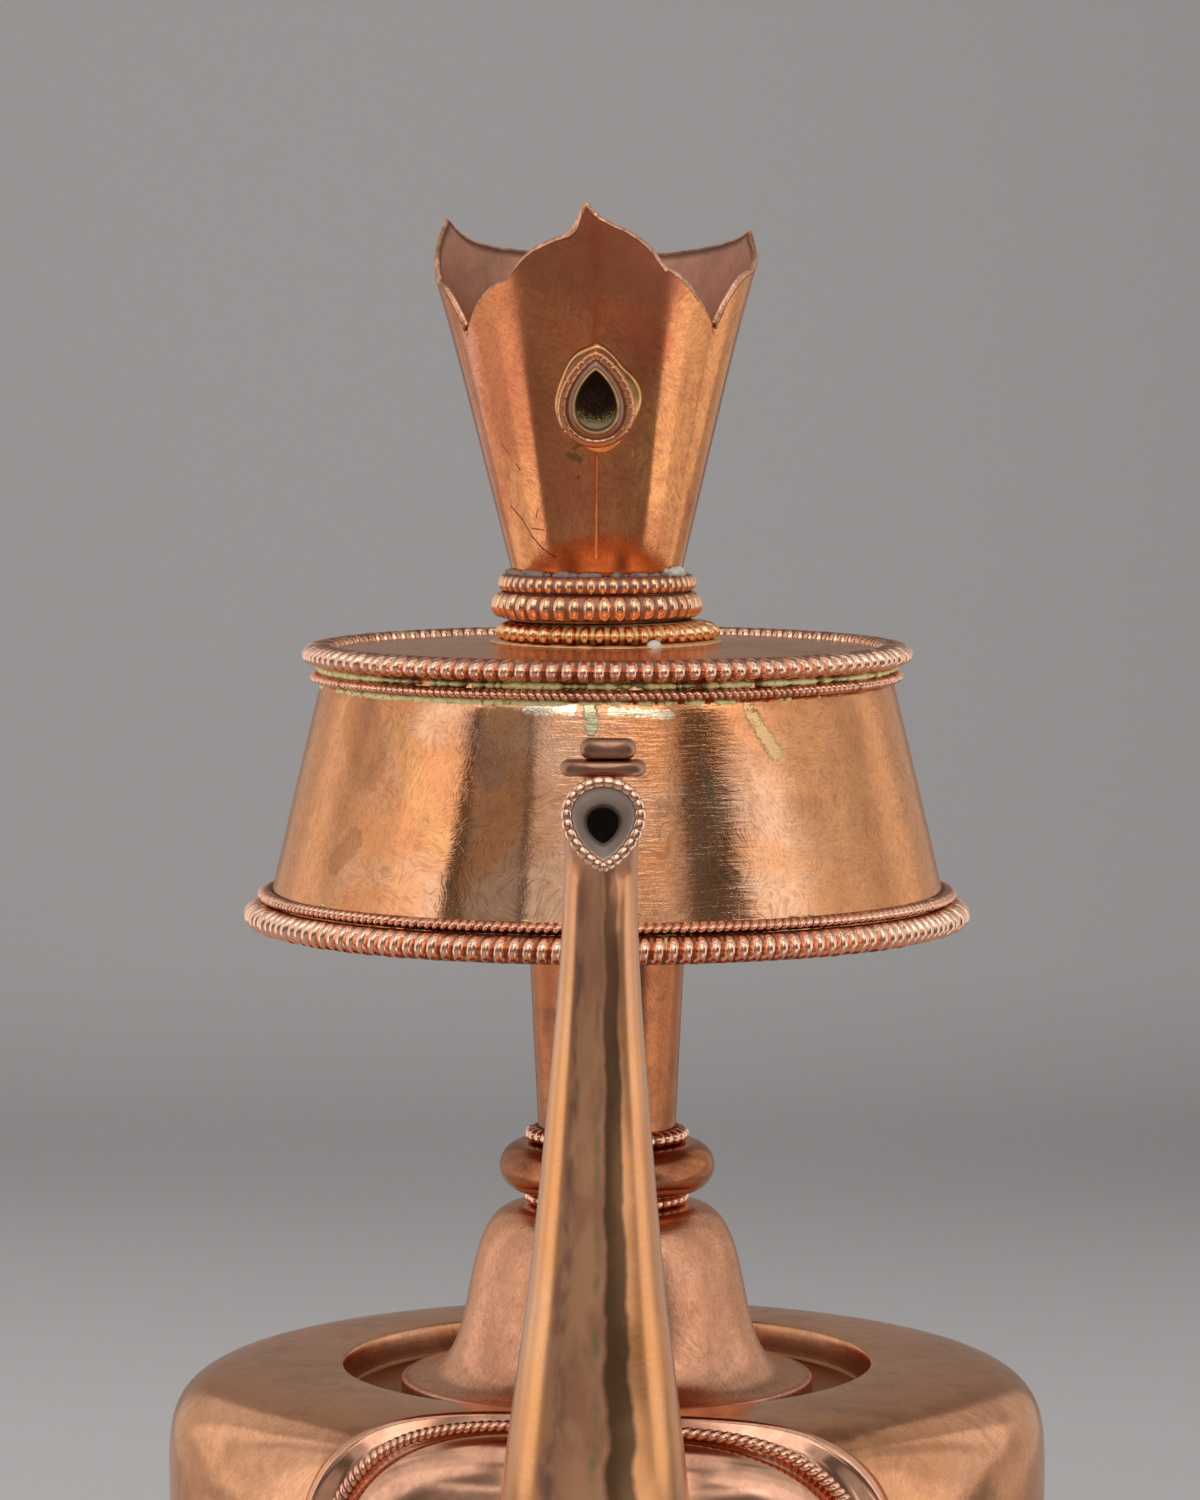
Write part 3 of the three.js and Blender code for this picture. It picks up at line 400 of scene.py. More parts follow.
def times(tree, first, second):
    return maths(tree, "MULTIPLY", first, second)


def gained(tree, base, part, share):
    """A value with a share of another one added to it."""
    return plus(tree, base, times(tree, part, share))


def ramped(tree, value, low, high, out_low=0.0, out_high=1.0):
    inputs = {"Value": value, "From Min": low, "From Max": high, "To Min": out_low,
              "To Max": out_high}
    return add(tree, "ShaderNodeMapRange", {"clamp": True}, inputs).outputs["Result"]


def tint(tree, share, first, second, strength=None):
    """The first colour turned into the second by a share, which a strength may hold back."""
    share = share if strength is None else times(tree, share, strength)
    return add(tree, "ShaderNodeMix", {"data_type": "RGBA"},
               {0: share, 6: first, 7: second}).outputs[2]


def cloud(tree, place, scale, detail=3.0, roughness=0.5, distortion=0.0):
    inputs = {"Vector": place, "Scale": scale, "Detail": detail, "Roughness": roughness,
              "Distortion": distortion}
    return add(tree, "ShaderNodeTexNoise", None, inputs).outputs["Fac"]


def vector(tree, operation, first, second=None, third=None, out=0):
    given = {0: first, 1: second, 2: third}
    given = {key: value for key, value in given.items() if value is not None}
    return add(tree, "ShaderNodeVectorMath", {"operation": operation}, given).outputs[out]


def parts_of(tree, place):
    return add(tree, "ShaderNodeSeparateXYZ", None, {0: place}).outputs


def stretched(tree, place, scale):
    return vector(tree, "MULTIPLY", place, scale)


def object_place(tree):
    return tree.nodes.new("ShaderNodeTexCoord").outputs["Object"]


def mark(tree, name):
    return add(tree, "ShaderNodeAttribute", {"attribute_name": name}).outputs["Fac"]


def new_group(name, inputs, outputs):
    """A shader node group whose inputs are numbers or places, with plain number outputs."""
    tree = bpy.data.node_groups.new(name, "ShaderNodeTree")
    for label, value in inputs.items():
        kind = "NodeSocketVector" if isinstance(value, tuple) else "NodeSocketFloat"
        socket = tree.interface.new_socket(label, in_out="INPUT", socket_type=kind)
        socket.default_value = value
    for label in outputs:
        tree.interface.new_socket(label, in_out="OUTPUT", socket_type="NodeSocketFloat")
    return tree, tree.nodes.new("NodeGroupInput"), tree.nodes.new("NodeGroupOutput")


def skin_place(tree):
    """The place on the sheet laid flat, in millimetres."""
    return add(tree, "ShaderNodeAttribute", {"attribute_name": "skin"}).outputs["Vector"]


def wandering(tree, place, scale, reach):
    """The place moved about by a slow noise, so that nothing laid on it runs straight."""
    noise = add(tree, "ShaderNodeTexNoise", None, {"Vector": place, "Scale": scale, "Detail": 2.0})
    shift = vector(tree, "SUBTRACT", noise.outputs["Color"], (0.5, 0.5, 0.5))
    return vector(tree, "MULTIPLY_ADD", shift, (reach, reach, reach), place)


def patches(tree, place, scale):
    return add(tree, "ShaderNodeTexVoronoi", {"feature": "F1"},
               {"Vector": place, "Scale": scale, "Randomness": 1.0}).outputs


def strokes(tree, place, patch_colour, part, along, across):
    """Fine strokes that run one way in each patch."""
    split = add(tree, "ShaderNodeSeparateColor", None, {0: patch_colour})
    way = times(tree, split.outputs[part], math.pi)
    turned_place = add(tree, "ShaderNodeVectorRotate", {"rotation_type": "Z_AXIS"},
                       {"Vector": place, "Angle": way}).outputs[0]
    return cloud(tree, stretched(tree, turned_place, (along, across, 1.0)), 1.0, 2.0, 0.6)


def brush_marks_group():
    """Hand polish: shallow dents, fine strokes whose way changes from patch to patch, short
    dashes that run straight or round a centre, and ripples that run round the piece. Each input
    is a height in millimetres."""
    tree, start, end = new_group(
        "brush_marks", {"Dents": 0.03, "Strokes": 0.004, "Arcs": 0.002, "Ripples": 0.0},
        ["Height", "Streaks", "Dashes", "Scratches"])
    skin = skin_place(tree)
    loose = wandering(tree, skin, 0.12, 9.0)
    wide, narrow = patches(tree, loose, 0.07), patches(tree, loose, 0.16)
    fine = strokes(tree, skin, wide["Color"], 0, 0.9, 5.8)
    coarse = strokes(tree, skin, narrow["Color"], 1, 0.5, 3.0)
    both = plus(tree, times(tree, fine, 0.5), times(tree, coarse, 0.5))
    gone = parts_of(tree, vector(tree, "SUBTRACT", loose, wide["Position"]))
    way = maths(tree, "ARCTAN2", gone[1], gone[0])
    round_place = add(tree, "ShaderNodeCombineXYZ", None,
                      {0: times(tree, way, 4.0), 1: times(tree, wide["Distance"], 50.0),
                       2: times(tree, wide["Distance"], 2.0)}).outputs[0]
    arcs = cloud(tree, round_place, 1.0, 1.0, 0.5)
    straight = strokes(tree, skin, narrow["Color"], 0, 1.0, 3.5)
    chosen = ramped(tree, cloud(tree, skin, 0.07, 2.0), 0.44, 0.52)
    dashes = add(tree, "ShaderNodeMix", {"data_type": "FLOAT"},
                 {0: chosen, 2: straight, 3: arcs}).outputs[0]
    dashes = ramped(tree, dashes, 0.5, 0.64)
    dents = cloud(tree, skin, 0.15, 2.0, 0.5)
    ripples = cloud(tree, stretched(tree, skin, (0.22, 1.9, 1.0)), 1.0, 4.0, 0.62)
    across = parts_of(tree, skin)[0]
    ripples = times(tree, ripples, ramped(tree, across, -10.0, 4.0, 0.25, 1.0))
    height = times(tree, dents, start.outputs["Dents"])
    for part, label in ((both, "Strokes"), (dashes, "Arcs"), (ripples, "Ripples")):
        height = gained(tree, height, part, start.outputs[label])
    hair = strokes(tree, wandering(tree, skin, 0.3, 1.2), narrow["Color"], 2, 0.16, 5.0)
    scratches = ramped(tree, hair, 0.72, 0.78)
    height = minus(tree, height, times(tree, scratches, 0.006))
    tree.links.new(height, end.inputs["Height"])
    tree.links.new(ramped(tree, both, 0.39, 0.61), end.inputs["Streaks"])
    tree.links.new(dashes, end.inputs["Dashes"])
    tree.links.new(scratches, end.inputs["Scratches"])
    return tree


def patina_group():
    """Slow clouds of warmer and browner copper, a finer mottle, and small dark specks."""
    tree, start, end = new_group("patina", {"Specks": 0.95}, ["Warm", "Brown", "Mottle", "Specks"])
    place = object_place(tree)
    warm = cloud(tree, place, 60.0, 3.0, 0.5, 0.5)
    tree.links.new(ramped(tree, warm, 0.4, 0.6), end.inputs["Warm"])
    brown = cloud(tree, place, 110.0, 6.0, 0.66, 0.8)
    tree.links.new(ramped(tree, brown, 0.47, 0.68), end.inputs["Brown"])
    mottle = cloud(tree, place, 700.0, 5.0, 0.72, 0.3)
    tree.links.new(ramped(tree, mottle, 0.38, 0.66), end.inputs["Mottle"])
    cells = patches(tree, place, 300.0)
    chosen = maths(tree, "GREATER_THAN",
                   add(tree, "ShaderNodeSeparateColor", None, {0: cells["Color"]}).outputs[0],
                   start.outputs["Specks"])
    near = ramped(tree, cells["Distance"], 0.02, 0.07, 1.0, 0.0)
    tree.links.new(times(tree, near, chosen), end.inputs["Specks"])
    return tree


def smear_group():
    """The share of a smear between two places on the sheet, with ragged edges."""
    tree, start, end = new_group(
        "smear", {"Start": (0.0, 0.0, 0.0), "End": (1.0, 0.0, 0.0), "Width": 1.0, "Ragged": 0.5},
        ["Mask"])
    first, last, width = (start.outputs[label] for label in ("Start", "End", "Width"))
    skin = skin_place(tree)
    way = vector(tree, "SUBTRACT", last, first)
    gone = vector(tree, "SUBTRACT", skin, first)
    share = maths(tree, "DIVIDE", vector(tree, "DOT_PRODUCT", gone, way, out=1),
                  vector(tree, "DOT_PRODUCT", way, way, out=1), clamp=True)
    reached = add(tree, "ShaderNodeVectorMath", {"operation": "SCALE"},
                  {0: way, "Scale": share}).outputs[0]
    off = vector(tree, "LENGTH", vector(tree, "SUBTRACT", gone, reached), out=1)
    noise = minus(tree, cloud(tree, skin, 1.3, 4.0, 0.6), 0.5)
    noise = times(tree, times(tree, noise, start.outputs["Ragged"]), width)
    off = gained(tree, off, noise, 3.0)
    tree.links.new(ramped(tree, maths(tree, "DIVIDE", off, width), 0.7, 1.0, 1.0, 0.0),
                   end.inputs["Mask"])
    return tree


def wire_wear_group():
    """Dirt that lies in a beaded wire's grooves, painted shade where a wire's crest mark is held
    back under its beads, and the pits of its cast or rubbed surface.
    """
    tree, start, end = new_group("wire_wear", {"Ragged": 0.5}, ["Level", "Flooded", "Pits"])
    place = object_place(tree)
    ragged = minus(tree, cloud(tree, place, 1100.0, 3.0, 0.6), 0.5)
    ragged = times(tree, ragged, start.outputs["Ragged"])
    tree.links.new(plus(tree, mark(tree, "crest"), ragged), end.inputs["Level"])
    tree.links.new(cloud(tree, place, 240.0, 4.0, 0.7), end.inputs["Flooded"])
    tree.links.new(cloud(tree, place, 1900.0, 3.0, 0.6), end.inputs["Pits"])
    return tree


BRUSH_MARKS = brush_marks_group()
PATINA = patina_group()
WIRE_WEAR = wire_wear_group()
SMEAR = smear_group()


def use_group(tree, group, values=None):
    made = tree.nodes.new("ShaderNodeGroup")
    made.node_tree = group
    for key, value in (values or {}).items():
        made.inputs[key].default_value = value
    return made.outputs


def new_finish(name):
    finish = bpy.data.materials.new(name)
    finish.use_nodes = True
    tree = finish.node_tree
    shader = tree.nodes["Principled BSDF"]
    return finish, tree, shader


def bumped(tree, shader, height, distance=MM):
    """Puts a height, in the given distance's units, on the shader."""
    relief = add(tree, "ShaderNodeBump", None,
                 {"Strength": 1.0, "Distance": distance, "Height": height})
    tree.links.new(relief.outputs[0], shader.inputs["Normal"])


def smear_mask(tree, start, end, width, ragged):
    return use_group(tree, SMEAR, {"Start": (*start, 0), "End": (*end, 0), "Width": width,
                                   "Ragged": ragged})["Mask"]


def copper_colour(tree, marks, age, pale, warm, brown, brown_share, streak_share=0.3,
                  dash_share=0.2, stains_and_painted_light=()):
    """Copper from pale to warm, stained in places and with painted light laid on in places,
    browned in clouds, mottled, and streaked by its brush marks."""
    colour = tint(tree, age["Warm"], pale, warm)
    for start, end, width, ragged, stain_and_painted_light_colour, share in stains_and_painted_light:
        mask = smear_mask(tree, start, end, width, ragged)
        colour = tint(tree, mask, colour, stain_and_painted_light_colour, share)
    fine = plus(tree, times(tree, marks["Streaks"], streak_share),
                times(tree, age["Mottle"], 0.22))
    fine = gained(tree, fine, marks["Dashes"], dash_share)
    share = plus(tree, times(tree, age["Brown"], brown_share), fine, clamp=True)
    colour = tint(tree, share, colour, brown)
    colour = tint(tree, marks["Scratches"], colour, SCRATCH, 0.3)
    return tint(tree, age["Specks"], colour, SPECK)


def smeared(tree, colour, height, smears_and_painted_light):
    """Lays smeared solder, scratches, painted highlights and a painted reflection over a colour
    and a height, the latter in mm.
    """
    for start, end, width, ragged, stain_and_painted_light_colour, rise in smears_and_painted_light:
        mask = smear_mask(tree, start, end, width, ragged)
        colour = tint(tree, mask, colour, stain_and_painted_light_colour, 0.8)
        height = gained(tree, height, mask, rise)
    return colour, height


def sheet_finish(name, pale, warm, brown, roughness, dents=0.03, stroke=0.008, arcs=0.003,
                 ripples=0.0, brown_share=0.5, streak_share=0.3, dash_share=0.15, specks=0.96,
                 edge=None, inner=None, stains_and_painted_light=(), smears_and_painted_light=(), sunk=None, dull=0.0, matte=None):
    """Polished copper sheet. Edge and inner are the colours of a piece's marked points, sunk is
    the colour of painted shade at its sunk points, dull is how much rougher its marked part is,
    and the sheet is stained and smeared at listed places, with painted light among them; it is
    matte further off its front than the length given."""
    finish, tree, shader = new_finish(name)
    marks = use_group(tree, BRUSH_MARKS,
                      {"Dents": dents, "Strokes": stroke, "Arcs": arcs, "Ripples": ripples})
    age = use_group(tree, PATINA, {"Specks": specks})
    colour = copper_colour(tree, marks, age, pale, warm, brown, brown_share, streak_share,
                           dash_share, stains_and_painted_light)
    rough = ramped(tree, marks["Streaks"], 0, 1, roughness * 0.85, roughness * 1.2)
    rough = gained(tree, rough, age["Brown"], 0.05)
    height = minus(tree, marks["Height"], times(tree, age["Specks"], 0.03))
    colour, height = smeared(tree, colour, height, smears_and_painted_light)
    if inner:
        inside = mark(tree, "inner")
        lining = tint(tree, age["Brown"], inner[0], inner[1], 0.5)
        lining = tint(tree, age["Mottle"], lining, inner[1], 0.35)
        colour = tint(tree, inside, colour, lining)
        rough = gained(tree, rough, inside, 0.28)
    # Painted shade: sunk points are darkened towards the sunk colour.
    if sunk:
        hollow = mark(tree, "sunk")
        colour = tint(tree, hollow, colour, sunk, 0.9)
        rough = gained(tree, rough, hollow, 0.12)
    if dull:
        rough = plus(tree, rough, times(tree, mark(tree, "dull"), dull))
    if matte:
        across = parts_of(tree, skin_place(tree))[0]
        far = ramped(tree, maths(tree, "ABSOLUTE", across), matte, matte + 12, 0.0, 0.13)
        rough = plus(tree, rough, far)
    if edge:
        worn = mark(tree, "edge")
        colour = tint(tree, ramped(tree, worn, 0.05, 0.4, 0.0, 0.8), colour, DARK_SCRATCH)
        worn = ramped(tree, worn, 0.45, 0.8)
        filed = tint(tree, age["Mottle"], edge[0], edge[1])
        colour = tint(tree, worn, colour, filed)
        rough = gained(tree, rough, worn, 0.07)
        filing = cloud(tree, stretched(tree, skin_place(tree), (1.6, 0.5, 1.0)), 1.0, 4.0, 0.7)
        height = plus(tree, height, times(tree, times(tree, filing, worn), 0.25))
    tree.links.new(colour, shader.inputs["Base Color"])
    tree.links.new(rough, shader.inputs["Roughness"])
    shader.inputs["Metallic"].default_value = 1.0
    shader.inputs["Specular Tint"].default_value = GRAZING_COPPER
    bumped(tree, shader, height)
    return finish


def wire_finish(name, crest, flank, groove, roughness, solder=None, solder_share=0.0):
    """Beaded wire: bright on the beads, darker under a beaded ring's beads as painted shade, dark
    in the grooves, some of them flooded with solder.
    """
    finish, tree, shader = new_finish(name)
    wear = use_group(tree, WIRE_WEAR)
    age = use_group(tree, PATINA, {"Specks": 0.99})
    level = wear["Level"]
    low = groove
    if solder:
        start = 0.66 - solder_share * 0.3
        low = tint(tree, ramped(tree, wear["Flooded"], start, start + 0.05), groove, solder)
    colour = tint(tree, ramped(tree, level, 0.08, 0.3), low, flank)
    colour = tint(tree, ramped(tree, level, 0.4, 0.85), colour, crest)
    colour = tint(tree, age["Brown"], colour, flank, 0.3)
    colour = tint(tree, age["Mottle"], colour, groove, 0.14)
    tree.links.new(colour, shader.inputs["Base Color"])
    rough = ramped(tree, level, 0.05, 0.4, 0.5, roughness)
    tree.links.new(rough, shader.inputs["Roughness"])
    shader.inputs["Metallic"].default_value = 1.0
    bumped(tree, shader, wear["Pits"], 0.035 * MM)
    return finish


def spout_finish(name):
    """The spout's copper: golden sides, a painted reflection down the front (a browner band with
    dark stripes whose edges wander), and a soldered seam. The skin runs from the front round both
    sides."""
    finish, tree, shader = new_finish(name)
    marks = use_group(tree, BRUSH_MARKS, {"Dents": 0.05, "Strokes": 0.004, "Arcs": 0.0,
                                          "Ripples": 0.0})
    age = use_group(tree, PATINA, {"Specks": 0.95})
    colour = copper_colour(tree, marks, age, SPOUT_GOLD, SPOUT_ORANGE, SPOUT_ROSE, 0.5, 0.1)
    skin = skin_place(tree)
    drift = minus(tree, cloud(tree, stretched(tree, skin, (0.0, 0.16, 1.0)), 1.0, 3.0, 0.5), 0.5)
    across = plus(tree, parts_of(tree, skin)[0], times(tree, drift, 1.1))

    def band(low, high, soft):
        rise = ramped(tree, across, low - soft, low + soft)
        return times(tree, rise, ramped(tree, across, high - soft, high + soft, 1, 0))

    # Painted reflection on the front: a browner band, purpler in slow clouds, a dark band right of
    # the middle, and a band of painted shade at the left.
    slow = cloud(tree, stretched(tree, skin, (0.5, 0.12, 1.0)), 1.0, 3.0, 0.6)
    middle = tint(tree, ramped(tree, slow, 0.42, 0.6), SPOUT_REFLECTION_BROWN, SPOUT_REFLECTION_PURPLE)
    colour = tint(tree, band(-2.7, 1.75, 0.22), colour, middle)
    dark_reflection_stripe = times(tree, band(0.5, 1.85, 0.14), ramped(tree, slow, 0.3, 0.5, 0.9, 1))
    colour = tint(tree, dark_reflection_stripe, colour, SPOUT_REFLECTION_DARK)
    left_shade_stripe = times(tree, band(-2.5, -1.7, 0.3), ramped(tree, slow, 0.45, 0.6))
    colour = tint(tree, left_shade_stripe, colour, SPOUT_SHADE)
    broken = ramped(tree, cloud(tree, stretched(tree, skin, (0.4, 0.25, 1.0)), 1.0, 3.0), 0.4,
                    0.62)
    seam = times(tree, band(-0.25, 0.12, 0.12), broken)
    colour = tint(tree, seam, colour, VERDIGRIS, 0.7)
    near_mouth = ramped(tree, parts_of(tree, skin)[1], SPOUT_BROWN_FROM, SPOUT_BROWN_FROM + 20,
                        0.0, 0.45)
    colour = tint(tree, near_mouth, colour, SPOUT_MOUTH_BROWN)
    bore = mark(tree, "bore")
    colour = tint(tree, bore, colour, BORE_GREY)
    tree.links.new(colour, shader.inputs["Base Color"])
    rough = gained(tree, ramped(tree, marks["Streaks"], 0, 1, 0.2, 0.27), bore, 0.35)
    tree.links.new(rough, shader.inputs["Roughness"])
    shader.inputs["Metallic"].default_value = 1.0
    bumped(tree, shader, gained(tree, marks["Height"], seam, 0.05))
    return finish


def solder_finish(name, pale, dark, green=0.3, metallic=0.8, rise=0.15):
    """Silver-brass solder or crust that ran out of a joint: lumpy, dull, with a little green."""
    finish, tree, shader = new_finish(name)
    place = object_place(tree)
    lumps = cloud(tree, place, 1500.0, 5.0, 0.72)
    colour = tint(tree, ramped(tree, lumps, 0.52, 0.66), pale, dark)
    verdigris = ramped(tree, cloud(tree, place, 300.0, 3.0), 0.52, 0.66, 0.0, green)
    colour = tint(tree, verdigris, colour, VERDIGRIS)
    tree.links.new(colour, shader.inputs["Base Color"])
    rough = ramped(tree, lumps, 0.3, 0.7, 0.35, 0.55)
    tree.links.new(rough, shader.inputs["Roughness"])
    shader.inputs["Metallic"].default_value = metallic
    bumped(tree, shader, lumps, rise * MM)
    return finish


def stone_bed_finish(name):
    """Old cement in the empty setting: dark brown, with grey grit and yellow grains lower down."""
    finish, tree, shader = new_finish(name)
    place = object_place(tree)
    grit = cloud(tree, place, 3500.0, 3.0, 0.7)
    low = ramped(tree, plus(tree, mark(tree, "edge"), times(tree, minus(tree, grit, 0.5), 0.8)),
                 0.35, 0.75)
    colour = tint(tree, ramped(tree, grit, 0.4, 0.6), CEMENT_BROWN, CEMENT_DARK)
    colour = tint(tree, low, colour, CEMENT_GRIT)
    grains = ramped(tree, cloud(tree, place, 5200.0, 2.0, 0.6), 0.5, 0.58)
    grains = times(tree, grains, ramped(tree, mark(tree, "edge"), 0.08, 0.3))
    colour = tint(tree, grains, colour, CEMENT_YELLOW, 0.7)
    tree.links.new(colour, shader.inputs["Base Color"])
    tree.links.new(ramped(tree, grit, 0.3, 0.7, 0.5, 0.8), shader.inputs["Roughness"])
    shader.inputs["Specular IOR Level"].default_value = 0.12
    bumped(tree, shader, grit, 0.1 * MM)
    return finish


GRAZING_COPPER = (1.0, 0.84, 0.72, 1)
# Sweep colours with painted light: lighter at the left, darker at the right.
PAPER_LIT_LEFT = (0.655, 0.635, 0.625)
PAPER_SHADED_RIGHT = (0.60, 0.58, 0.57)
ROOM_GREY = (0.125, 0.122, 0.12, 1)
SPECK = (0.05, 0.02, 0.012)
SCRATCH = (0.95, 0.60, 0.42)
DARK_SCRATCH = (0.09, 0.04, 0.03)
PINK = (0.95, 0.55, 0.33)
ORANGE = (0.90, 0.37, 0.15)
ROSE = (0.66, 0.30, 0.19)
BROWN = (0.36, 0.15, 0.08)
DARK_BROWN = (0.18, 0.085, 0.055)
PURPLE_BROWN = (0.36, 0.18, 0.135)
RIM_PINK = (0.97, 0.54, 0.34)
RIM_BROWN = (0.46, 0.19, 0.10)
CUP_ORANGE = (0.66, 0.24, 0.09)
CUP_RED = (0.61, 0.18, 0.085)
CUP_BROWN = (0.34, 0.10, 0.055)
CUP_INSIDE = (0.56, 0.28, 0.19)
CUP_INSIDE_DARK = (0.32, 0.155, 0.10)
DISC_COPPER = (0.84, 0.45, 0.27)
SOLDER_YELLOW = (0.72, 0.60, 0.24)
VERDIGRIS = (0.26, 0.28, 0.11)
PALE_GREEN = (0.46, 0.50, 0.30)
SPOUT_GOLD = (0.75, 0.37, 0.155)
SPOUT_ORANGE = (0.71, 0.305, 0.10)
SPOUT_ROSE = (0.68, 0.33, 0.18)
# Painted reflection and painted shade on the spout's front:
SPOUT_REFLECTION_BROWN = (0.72, 0.36, 0.20)
SPOUT_REFLECTION_PURPLE = (0.57, 0.265, 0.155)
SPOUT_SHADE = (0.34, 0.18, 0.12)
SPOUT_REFLECTION_DARK = (0.17, 0.09, 0.045)
SPOUT_MOUTH_BROWN = (0.48, 0.22, 0.13)
BORE_GREY = (0.62, 0.52, 0.45)
CEMENT_BROWN = (0.055, 0.022, 0.008)
CEMENT_DARK = (0.016, 0.007, 0.004)
CEMENT_GRIT = (0.34, 0.27, 0.20)
CEMENT_YELLOW = (0.50, 0.38, 0.10)

# Smears, scratches, painted highlights and a painted reflection: start and end on the sheet
# laid flat, half width, raggedness, colour and height, all lengths in millimetres.
CUP_SMEARS_AND_PAINTED_REFLECTION = [
    ((-15.1, 8.2), (-12.8, 6.7), 0.16, 0.3, DARK_SCRATCH, -0.01),
    ((-12.8, 6.7), (-11.1, 4.6), 0.17, 0.3, DARK_SCRATCH, -0.01),
    ((-11.1, 4.6), (-9.3, 3.3), 0.15, 0.3, DARK_SCRATCH, -0.01),
    ((-9.3, 3.3), (-6.9, 2.3), 0.12, 0.3, DARK_SCRATCH, -0.01),
    ((-14.1, 15.6), (-12.9, 14.2), 0.10, 0.6, DARK_SCRATCH, -0.01),
    ((-11.9, 13.3), (-11.3, 12.6), 0.10, 0.6, DARK_SCRATCH, -0.01),
    ((-11.0, 5.7), (-8.5, 5.5), 0.09, 0.8, DARK_SCRATCH, -0.01),
    ((-9.1, 8.0), (-9.7, 6.9), 0.08, 0.6, DARK_SCRATCH, -0.01),
    # Painted reflection: a thin bright line down the front, below the stone.
    ((0.88, 14.2), (0.76, 8.5), 0.12, 0.2, (0.94, 0.56, 0.32), 0.0),
    ((0.76, 8.5), (0.62, 2.4), 0.2, 0.2, (1.0, 0.66, 0.34), 0.0),
    ((-2.9, 14.6), (-1.7, 13.8), 0.5, 1.6, (0.20, 0.12, 0.03), 0.0),
    ((-2.4, 15.2), (-0.6, 16.0), 0.3, 1.6, (0.20, 0.12, 0.03), 0.0),
]
# Stained places and painted light: start and end on the sheet laid flat, half width, raggedness,
# colour and share, lengths in millimetres.
CUP_STAINS_AND_PAINTED_LIGHT = [
    # Painted glow: three stacked orange bands along the cup's foot.
    ((-60.0, 0.0), (60.0, 0.0), 10.0, 0.1, (0.90, 0.40, 0.14), 0.25),
    ((-60.0, 0.0), (60.0, 0.0), 7.0, 0.1, (0.93, 0.42, 0.15), 0.25),
    ((-60.0, 0.0), (60.0, 0.0), 4.0, 0.15, (0.86, 0.38, 0.14), 0.2),
    # Painted reflection: a broad golden band up the right of the cup.
    ((13.5, 14.0), (18.0, 32.0), 9.0, 0.2, (0.95, 0.43, 0.15), 0.8),
    ((-14.0, 4.0), (-11.0, 11.0), 3.4, 0.4, (0.90, 0.42, 0.15), 0.6),
    ((2.5, 31.0), (8.0, 27.0), 2.4, 0.5, (0.72, 0.15, 0.06), 0.5),
    ((-3.5, 29.5), (-1.0, 27.0), 1.6, 0.6, (0.72, 0.17, 0.06), 0.45),
    ((-20.0, 12.0), (-17.0, 28.0), 2.2, 0.7, (0.80, 0.42, 0.30), 0.5),
    ((-6.0, 38.0), (6.0, 36.0), 5.0, 0.2, (0.36, 0.13, 0.07), 0.5),
]
DRUM_SMEARS_AND_PAINTED_HIGHLIGHTS = [
    ((19.2, 28.9), (20.8, 26.2), 0.8, 1.3, (0.72, 0.48, 0.20), 0.04),
    ((20.6, 26.4), (23.2, 22.4), 1.2, 0.6, (0.66, 0.44, 0.20), 0.05),
    ((-2.4, 28.4), (-2.1, 25.6), 1.0, 0.5, PALE_GREEN, 0.08),
    ((12.0, 22.5), (13.5, 17.5), 0.5, 0.9, (0.55, 0.33, 0.2), 0.0),
    # Painted highlights: two cream strips just below the upper trim.
    ((-11.0, 27.6), (-4.6, 27.7), 0.7, 0.9, (1.0, 0.86, 0.66), 0.0),
    ((0.5, 27.5), (8.6, 27.1), 0.5, 1.2, (1.0, 0.86, 0.62), 0.0),
]
DRUM_STAINS_AND_PAINTED_SHADE = [
    # Painted shade: the drum's left and right sides darker and more orange than its front.
    ((-52.0, 0.0), (-52.0, 34.0), 17.5, 0.06, (0.78, 0.34, 0.14), 0.9),
    ((44.0, 0.0), (46.0, 34.0), 21.0, 0.06, (0.80, 0.36, 0.15), 0.85),
    ((-40.0, 26.0), (-35.5, 21.0), 4.5, 0.3, (0.50, 0.20, 0.08), 0.6),
    ((-38.5, 8.5), (-35.5, 11.5), 1.8, 0.5, (0.52, 0.20, 0.07), 0.6),
    ((-31.0, 25.0), (-21.5, 12.0), 2.0, 0.5, (0.96, 0.46, 0.16), 0.6),
    ((-19.0, 25.5), (-15.0, 20.0), 2.2, 0.5, (0.52, 0.28, 0.20), 0.5),
    ((-26.0, 0.0), (26.0, 0.0), 3.2, 0.3, (0.74, 0.33, 0.19), 0.5),
]

